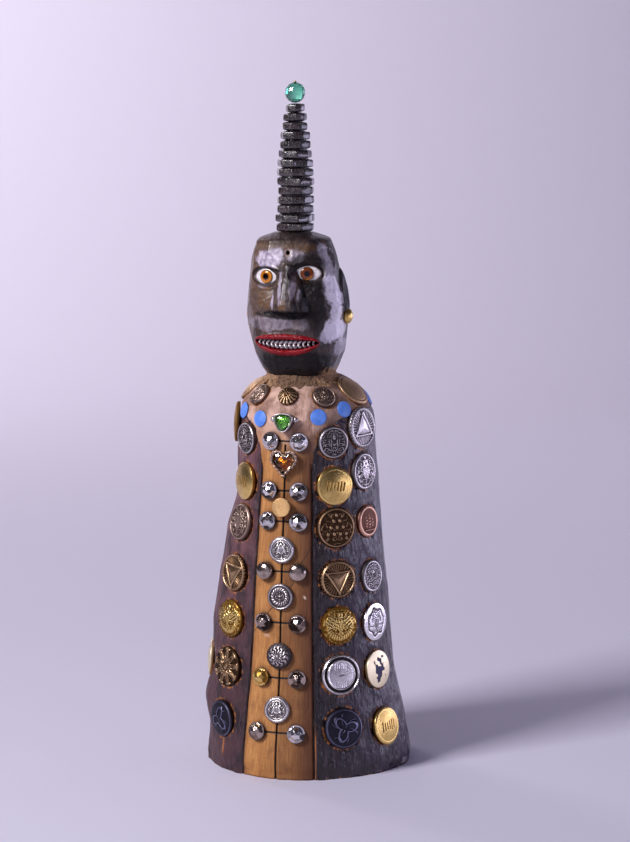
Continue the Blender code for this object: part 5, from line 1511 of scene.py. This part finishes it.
# Glazed porcelain is almost even in colour and holds one small sharp light.
eye_white, node = start_finish("porcelain_glazed_eye_white")
edge = node("Attribute", attribute_name="edge", give="Fac")
tone = coat_over(node, colour("#efe9e6"), "#cdc3c3", patches(node, 1.6, detail=4.0), 0.4, 0.7)
tone = coat_over(node, tone, "#3b2c2c", edge, 0.80, 1.0, 0.85)
node("OutputMaterial", node("BsdfPrincipled", named={"Base Color": tone, "Roughness": 0.10}))
t = np.arange(72) * 2 * np.pi / 72
for side, word, half_long, half_tall in ((-1, "left", 8.1, 5.3), (1, "right", 8.8, 5.2)):
    almond = np.stack([half_long * np.cos(t), half_tall * np.sin(t) * np.abs(np.sin(t)) ** 0.22], axis=-1)
    u = np.append(np.linspace(0, 1, 16), [1.0, 1.0])[:, None]
    depth = -1.25 - 1.0 * u**2 - np.append(np.zeros(16), [0.3, 1.6])[:, None] + 0 * t
    points = np.stack([almond[:, 0] * u, almond[:, 1] * u, depth], axis=-1) / 1000
    marks = np.broadcast_to(u, depth.shape)
    add_piece(f"eye_white_{word}", [put(points, eye_seat(side))], eye_white, {"edge": [marks]})

# %% Glass of the eyes
iris_glass, node = start_finish("glass_amber_eye")
ring, ray, shaded = (node("Attribute", attribute_name=name, give="Fac") for name in ("ring", "ray", "shaded"))
tone = coat_over(node, colour("#6e3003"), "#c97a0e", ring, 1.6, 3.4)
tone = node("Mix", node("Math", ray, 0.40, **TIMES), tone, colour("#f2a52c"), **COLOURS)
tone = node("Mix", shaded, tone, colour("#5c2408"), **COLOURS)
tone = coat_over(node, tone, "#2a1206", ring, 3.65, 4.0)
tone = coat_over(node, tone, "#050303", ring, 1.85, 1.60)
node("OutputMaterial", node("BsdfPrincipled", named={"Base Color": tone, "Roughness": 0.03, "IOR": 1.52}))
turn = np.arange(96) * 2 * np.pi / 96
for side, word in ((-1, "left"), (1, "right")):
    u = np.append(np.linspace(0, 1, 22), [1.0, 1.0])[:, None]
    drop = np.append(np.zeros(22), [0.35, 2.0])[:, None]
    z = -1.45 + 1.4 * np.sqrt(np.clip(1 - (u * 0.96) ** 2, 0, 1)) - drop + 0 * turn
    points = np.stack([4.05 * u * np.cos(turn), 4.05 * u * np.sin(turn), z], axis=-1) / 1000
    rays = (0.5 + 0.5 * np.sin(turn * 19 + 3 * np.sin(turn * 5))) * ridge(u - 0.72, 0.30)
    low_right = 4.05 * u * (0.55 * np.cos(turn) - 0.85 * np.sin(turn))
    # Painted shade: the right iris is dark, bright only towards its lower right, and the left a little darker
    # towards its upper left.
    shade = 0.93 * step_up(4.2 - low_right, 0, 2.6) if side > 0 else 0.35 * step_up(-low_right, 0, 3.0)
    held = {"ring": [4.05 * u + 0 * turn], "ray": [rays], "shaded": [shade]}
    points = [put(points, eye_seat(side))]
    add_piece(f"eye_glass_{word}", points, iris_glass, held, instead_of=f"eye_{word}")

# %% Teeth
TEETH = 13
grids, marks = [], []
for row_side in (-1, 1):
    for k in range(TEETH):
        x = 0.0168 * (2 * k / (TEETH - 1) - 1)
        closing = 1 - (x / 0.0198) ** 2
        size = 0.0016 * (0.45 + 0.55 * closing)
        middle = face_place(x + MOUTH_X / 1000, MOUTH_HEIGHT - 0.0016 * closing / HEAD_HEIGHT)
        middle = middle + np.array([0, 0.0052 * 0.42, row_side * size * 0.86])
        leaf = ball_grid((0, 0, 0), 1.0, 9, 12) * np.array([0.92, 0.80, 1.15]) * size
        lean = math.radians(24 * row_side)
        leaf[..., 0] += leaf[..., 2] * math.tan(lean)
        grids.append(put(leaf + middle, head_seat))
        marks.append(np.clip(0.75 + leaf[..., 2] * 260 * row_side * -1, 0.1, 1))
add_piece("teeth_silver_leaves", grids, dull_silver, {"relief": marks}, instead_of="teeth")

# %% Earrings
EARRING_LEVEL = 0.425
EARRING_RADIUS = 0.0049
EARRING_RISE = 0.0036
EARRING_EDGE = 0.0016
for side, word in ((-1, "left"), (1, "right")):
    half_width = HEAD_HALF_WIDTH * float(read_curve(HEAD_PROFILE, EARRING_LEVEL))
    place = np.array([side * half_width + HEAD_LEAN * EARRING_LEVEL, 0.0030, EARRING_LEVEL * HEAD_HEIGHT])
    seat = head_seat @ seat_frame(place, np.array([side, 0.0, 0.0]), 0.0012 - CLEARANCE)
    dome = ball_grid((0, 0, 0), 1.0, 25, 48)
    dome *= (EARRING_RADIUS, EARRING_RADIUS, 1.0)
    dome[..., 2] = dome[..., 2] * np.where(dome[..., 2] > 0, EARRING_RISE, EARRING_EDGE) + EARRING_EDGE
    marks = {"relief": [np.full(dome.shape[:2], 0.6)]}
    dome = [put(dome, seat)]
    add_piece(f"earring_{word}_domed", dome, gilt_brass, marks, instead_of=f"earring_{word}")

# %% [markdown]
# ## The headdress
#
# Fourteen rings were cut round one tapering stick with a knife, so each is eight-sided, not quite level
# and not quite like the next. The same dark paint is thicker and glossier here.

# %% Rings of the headdress
RING_COUNT, RING_PITCH, RING_FOOT_RADIUS, RING_TOP_RADIUS, RING_NOTCH = 14, 0.0055, 0.0118, 0.0056, 0.0026
shift = np.eye(4)
shift[:3, 3] = (HEAD_LEAN + 0.0007, 0.0008, HEAD_HEIGHT + CLEARANCE)
dress_seat = head_seat @ shift
# Share of the ring's height and of how far it stands out, from its upper edge to its lower one.
RING_SHAPE = (
    (0.995, 0.0), (0.97, 0.20), (0.93, 0.66), (0.87, 0.92), (0.80, 0.99), (0.50, 1.03),
    (0.26, 1.0), (0.18, 0.93), (0.11, 0.68), (0.06, 0.20), (0.01, 0.0),
)  # fmt: skip
cutter = np.random.default_rng(12)
turn = np.arange(96) * 2 * np.pi / 96
rows, edges = [], []
for place in reversed(range(RING_COUNT)):
    share = place / (RING_COUNT - 1)
    radius = RING_TOP_RADIUS + (RING_FOOT_RADIUS - RING_TOP_RADIUS) * (1 - share**2.6)
    start = cutter.uniform(0, 45)
    eighth = (np.degrees(turn) - start) % 45 - 22.5
    sides = math.cos(math.radians(22.5)) / np.cos(np.radians(eighth)) * 1.035
    facet = ((np.degrees(turn) - start) // 45).astype(int) % 8
    sides = sides * (1 + 0.03 * np.sin(turn * 2 + cutter.uniform(0, 6)))
    sides = sides * (1 + cutter.uniform(-0.09, 0.02, 8)[facet])
    tilt = 0.00028 * np.cos(turn - cutter.uniform(0, 6))
    for part, out in RING_SHAPE:
        r = (radius - RING_NOTCH) * (1 - out) + radius * sides * out
        z = (place + part) * RING_PITCH + tilt * (0.3 + 0.7 * out)
        rows.append(np.stack([r * np.cos(turn), r * np.sin(turn), z], axis=-1))
        edges.append(np.full(96, out))
rings = np.stack(rows)
wobble = noise(rings, 0.0035, 3) - 0.5
rings[..., :2] *= (1 + 0.05 * wobble)[..., None]
ends = np.zeros((2, 1, 3))
ends[0, 0, 2] = RING_COUNT * RING_PITCH
ends = np.broadcast_to(ends, (2, 96, 3))
rings = np.concatenate([ends[:1], rings, ends[1:]])
edges = np.concatenate([[np.zeros(96)], edges, [np.zeros(96)]])

# Thick oil paint under varnish is near black, and glossy enough to show each facet as a sheen.
dress_paint, node = start_finish("oil_paint_dark_glossy")
cloud = patches(node, 6.0, detail=4.0)
speck = patches(node, 0.9)
edge = node("Attribute", attribute_name="edge", give="Fac")
tone = coat_over(node, colour("#130e11"), "#2b2123", cloud, 0.35, 0.65)
on_edge = node("MapRange", edge, 0.80, 1.0, **SMOOTH)
rubbed = node("Math", on_edge, node("MapRange", speck, 0.48, 0.64, **SMOOTH), **TIMES)
tone = node("Mix", node("Math", rubbed, 0.30, **TIMES), tone, colour("#8d7a74"), **COLOURS)
tone = coat_over(node, tone, "#120d0f", edge, 0.45, 0.0)
inputs = {
    "Base Color": tone,
    "Roughness": node("MapRange", speck, 0.3, 0.7, 0.18, 0.34, **SMOOTH),
    "Normal": node("Bump", named={"Height": node("Math", cloud, speck, **PLUS), "Distance": 0.0004}),
    "Coat Weight": 1.0,
    "Coat Roughness": 0.12,
}
node("OutputMaterial", node("BsdfPrincipled", named=inputs))
rings, marks = [put(rings, dress_seat)], {"edge": [edges]}
add_piece("headdress_rings", rings, dress_paint, marks, instead_of="headdress")
print("headdress triangles:", triangle_counts["headdress_rings"])

# %% [markdown]
# ## The bead
#
# A cut glass bead is held on top by a pin. Its facets are flat, so it is shaded flat.

# %% Bead and pin
BEAD_RADIUS = 0.0062
bead_base = RING_COUNT * RING_PITCH + CLEARANCE
bead = put(ball_grid((0, 0, bead_base + BEAD_RADIUS), BEAD_RADIUS, 10, 16), dress_seat)
add_piece("crown_bead_glass", [bead], sea_glass, smooth=False, instead_of="crown_bead")
turn = np.arange(16) * 2 * np.pi / 16
pin_top = bead_base + 2 * BEAD_RADIUS
# Millimetres out from the pin's middle and above the bead, from the top of its head down.
PIN_STEPS = ((0, 0.9), (0.7, 0.7), (1.0, 0.3), (0.9, 0), (0.4, -0.3), (0.4, -1.4), (0, -1.5))
r, z = np.array(PIN_STEPS).T[:, :, None] / 1000
pin = np.stack([r * np.cos(turn), r * np.sin(turn), pin_top + z + 0 * turn], axis=-1)
marks = {"relief": [np.full(pin.shape[:2], 0.7)]}
add_piece("crown_pin", [put(pin, dress_seat)], old_brass, marks)

# %% [markdown]
# ## Filler at the neck
#
# A rough, fibrous filler was pressed round the seam between head and body and left unpainted.

# %% Neck filler
angles = np.linspace(-180, 180, 241)[:-1]
inwards = np.array([0.985, 0.985, 1])
top_ring = put(head_surface(angles, 0.035) * inwards, head_seat)
around = np.stack([np.cos(np.radians(angles)), np.sin(np.radians(angles))], axis=-1)
low_ring = robe_surface(angles, 0.972 + 0.016 * noise(around, 0.09, 6)) * inwards
middle_ring = put(head_surface(angles, 0.01) * np.array([1.08, 1.08, 1]), head_seat)
middle_ring[:, 2] = ROBE_HEIGHT + 0.0004
s = np.linspace(0, 1, 30)[:, None, None]
filler = (1 - s) ** 2 * top_ring + 2 * s * (1 - s) * middle_ring + s**2 * low_ring
fibres = noise(filler * (1, 1, 0.35), 0.0011, 2) + 0.6 * noise(filler, 0.0035, 4) - 0.8
swell = np.sin(np.pi * s[..., 0]) ** 0.5
away = unit(filler * np.array([1, 1, 0]) + np.array([0, 0, 0.004]))
filler = filler + away * (0.0013 * fibres * swell)[..., None]
# Wood filler is matt and stringy, with dirt between its strands.
fibre_filler, node = start_finish("wood_filler_fibrous")
strands = patches(node, 0.8, (1, 1, 2.2), detail=5.0, rough=0.7)
painted_chin_shadow = node("Attribute", attribute_name="painted_chin_shadow", give="Fac")
tone = coat_over(node, colour("#6e4f38"), "#c9a077", strands, 0.38, 0.62)
tone = coat_over(node, tone, "#3d2b20", patches(node, 4.0), 0.5, 0.7, 0.6)
# The filler is painted darker in front: painted shadow under the chin.
tone = node("Mix", node("Math", painted_chin_shadow, 0.60, **TIMES), tone, colour("#35231a"), **COLOURS)
inputs = {
    "Base Color": tone,
    "Roughness": 0.9,
    "Normal": node("Bump", named={"Height": strands, "Distance": 0.0009}),
}
node("OutputMaterial", node("BsdfPrincipled", named=inputs))
chin_shade = step_up(1 - np.hypot((angles - 8) / 48, 0 * angles), 0, 0.6) * np.ones((30, 1))
add_piece("neck_filler", [filler], fibre_filler, {"painted_chin_shadow": [chin_shade]})

# %% [markdown]
# ## Studio
#
# The figure stands on a pale lilac paper sweep. A big soft light from the front left throws its shadow
# back to the right. Two low panels on the right give the dark paint its sheen, a dim one in front shows
# in the metals, one lights only the wall behind, and the room fills in.

# %% Paper sweep
CAMERA_TURN = math.radians(19)
ahead = np.array([-math.sin(CAMERA_TURN), math.cos(CAMERA_TURN), 0.0])
to_right = np.array([math.cos(CAMERA_TURN), math.sin(CAMERA_TURN), 0.0])
bend = np.linspace(0, np.pi / 2, 16)
run = np.concatenate([[-4.0, 0.0, 1.2], 1.6 + 0.9 * np.sin(bend), [2.5]])
lift = np.concatenate([[0, 0, 0], 0.9 - 0.9 * np.cos(bend), [4.5]])
wide = np.linspace(-4, 4, 9)
sweep = run[:, None, None] * ahead + wide[None, :, None] * to_right
sweep = sweep + lift[:, None, None] * np.array([0, 0, 1.0])
cell = np.arange(sweep.shape[0] * 9).reshape(-1, 9)
faces = np.stack([cell[:-1, :-1], cell[:-1, 1:], cell[1:, 1:], cell[1:, :-1]], axis=-1).reshape(-1, 4)
paper_mesh = bpy.data.meshes.new("paper_sweep")
paper_mesh.from_pydata(sweep.reshape(-1, 3).tolist(), [], faces.tolist())
paper_mesh.polygons.foreach_set("use_smooth", np.full(len(faces), True))
# Matt paper is even and throws back no highlight, so only the shadow shows on it.
paper, node = start_finish("paper_matt_lilac")
fibre_tone = patches(node, 1.0)
tone = node("Mix", fibre_tone, colour("#d4d1e0"), colour("#d7d4e3"), **COLOURS)
node("OutputMaterial", node("BsdfPrincipled", named={"Base Color": tone, "Roughness": 0.85}))
paper_mesh.materials.append(paper)
paper_sweep = bpy.data.objects.new("paper_sweep", paper_mesh)
bpy.context.scene.collection.objects.link(paper_sweep)


# %% Lights
def add_panel(name, place, look_at, size, power, tint):
    """A light panel that faces a point. size is (width, height), in metres like the places."""
    lamp = bpy.data.lights.new(name, "AREA")
    lamp.shape = "RECTANGLE"
    lamp.size, lamp.size_y = size
    lamp.energy = power
    lamp.color = colour(tint)[:3]
    panel = bpy.data.objects.new(name, lamp)
    panel.location = Vector(place)
    panel.rotation_euler = (Vector(place) - Vector(look_at)).to_track_quat("Z", "Y").to_euler()
    bpy.context.scene.collection.objects.link(panel)


def bearing(turn, lift, distance, height=0.2):
    """A place at a bearing from the figure's front, a lift above level and a distance, in metres."""
    a, e = math.radians(turn), math.radians(lift)
    way = np.array([math.sin(a) * math.cos(e), -math.cos(a) * math.cos(e), math.sin(e)])
    return way * distance + (0, 0, height)


add_panel("key_panel", bearing(-34, 36, 1.7), (0, 0, 0.2), (0.5, 0.5), 30, "#faf6ff")
add_panel("sheen_panel", bearing(132, 1, 1.5), (0, 0, 0.22), (1.6, 0.5), 7, "#e2dcff")
add_panel("side_panel", bearing(84, 1, 1.5), (0, 0, 0.22), (0.35, 0.5), 3.2, "#e2dcff")
add_panel("front_panel", bearing(8, 14, 2.6), (0, 0, 0.2), (2.6, 1.8), 5.5, "#e8e4ff")
wall_place = to_right * -1.3 + ahead * 1.5 + (0, 0, 1.6)
add_panel("wall_panel", wall_place, to_right * -0.3 + ahead * 2.5 + (0, 0, 0.95), (0.9, 0.9), 34, "#fdf4f6")
room = bpy.data.worlds.new("room")
room.use_nodes = True
room.node_tree.nodes["Background"].inputs["Color"].default_value = colour("#c0bde6")
room.node_tree.nodes["Background"].inputs["Strength"].default_value = 0.09
bpy.context.scene.world = room
bpy.context.scene.view_settings.view_transform = "Standard"

# %% Camera
CAMERA_RISE = math.radians(8.19)
CAMERA_AWAY = 1.6
CAMERA_HEIGHT = 0.44
PIXEL_FOCUS = 2638
# The photograph is 842 pixels tall. The figure's middle is 8 pixels beside the middle of the photograph.
PIXELS_TALL = 842
PIXELS_ASIDE = 8
camera_data = bpy.data.cameras.new("camera")
camera_data.sensor_width = 36
camera_data.lens = PIXEL_FOCUS * 36 / PIXELS_TALL
camera = bpy.data.objects.new("camera", camera_data)
offset = PIXELS_ASIDE / PIXEL_FOCUS * CAMERA_AWAY / math.cos(CAMERA_RISE)
camera.location = -ahead * CAMERA_AWAY + np.array([0, 0, CAMERA_HEIGHT]) + to_right * offset
camera.rotation_euler = (math.pi / 2 - CAMERA_RISE, 0, CAMERA_TURN)
bpy.context.scene.collection.objects.link(camera)
bpy.context.scene.camera = camera

# %% Sizes and the end
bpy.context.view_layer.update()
print("triangles:", sum(triangle_counts.values()), "largest:", max(triangle_counts, key=triangle_counts.get))
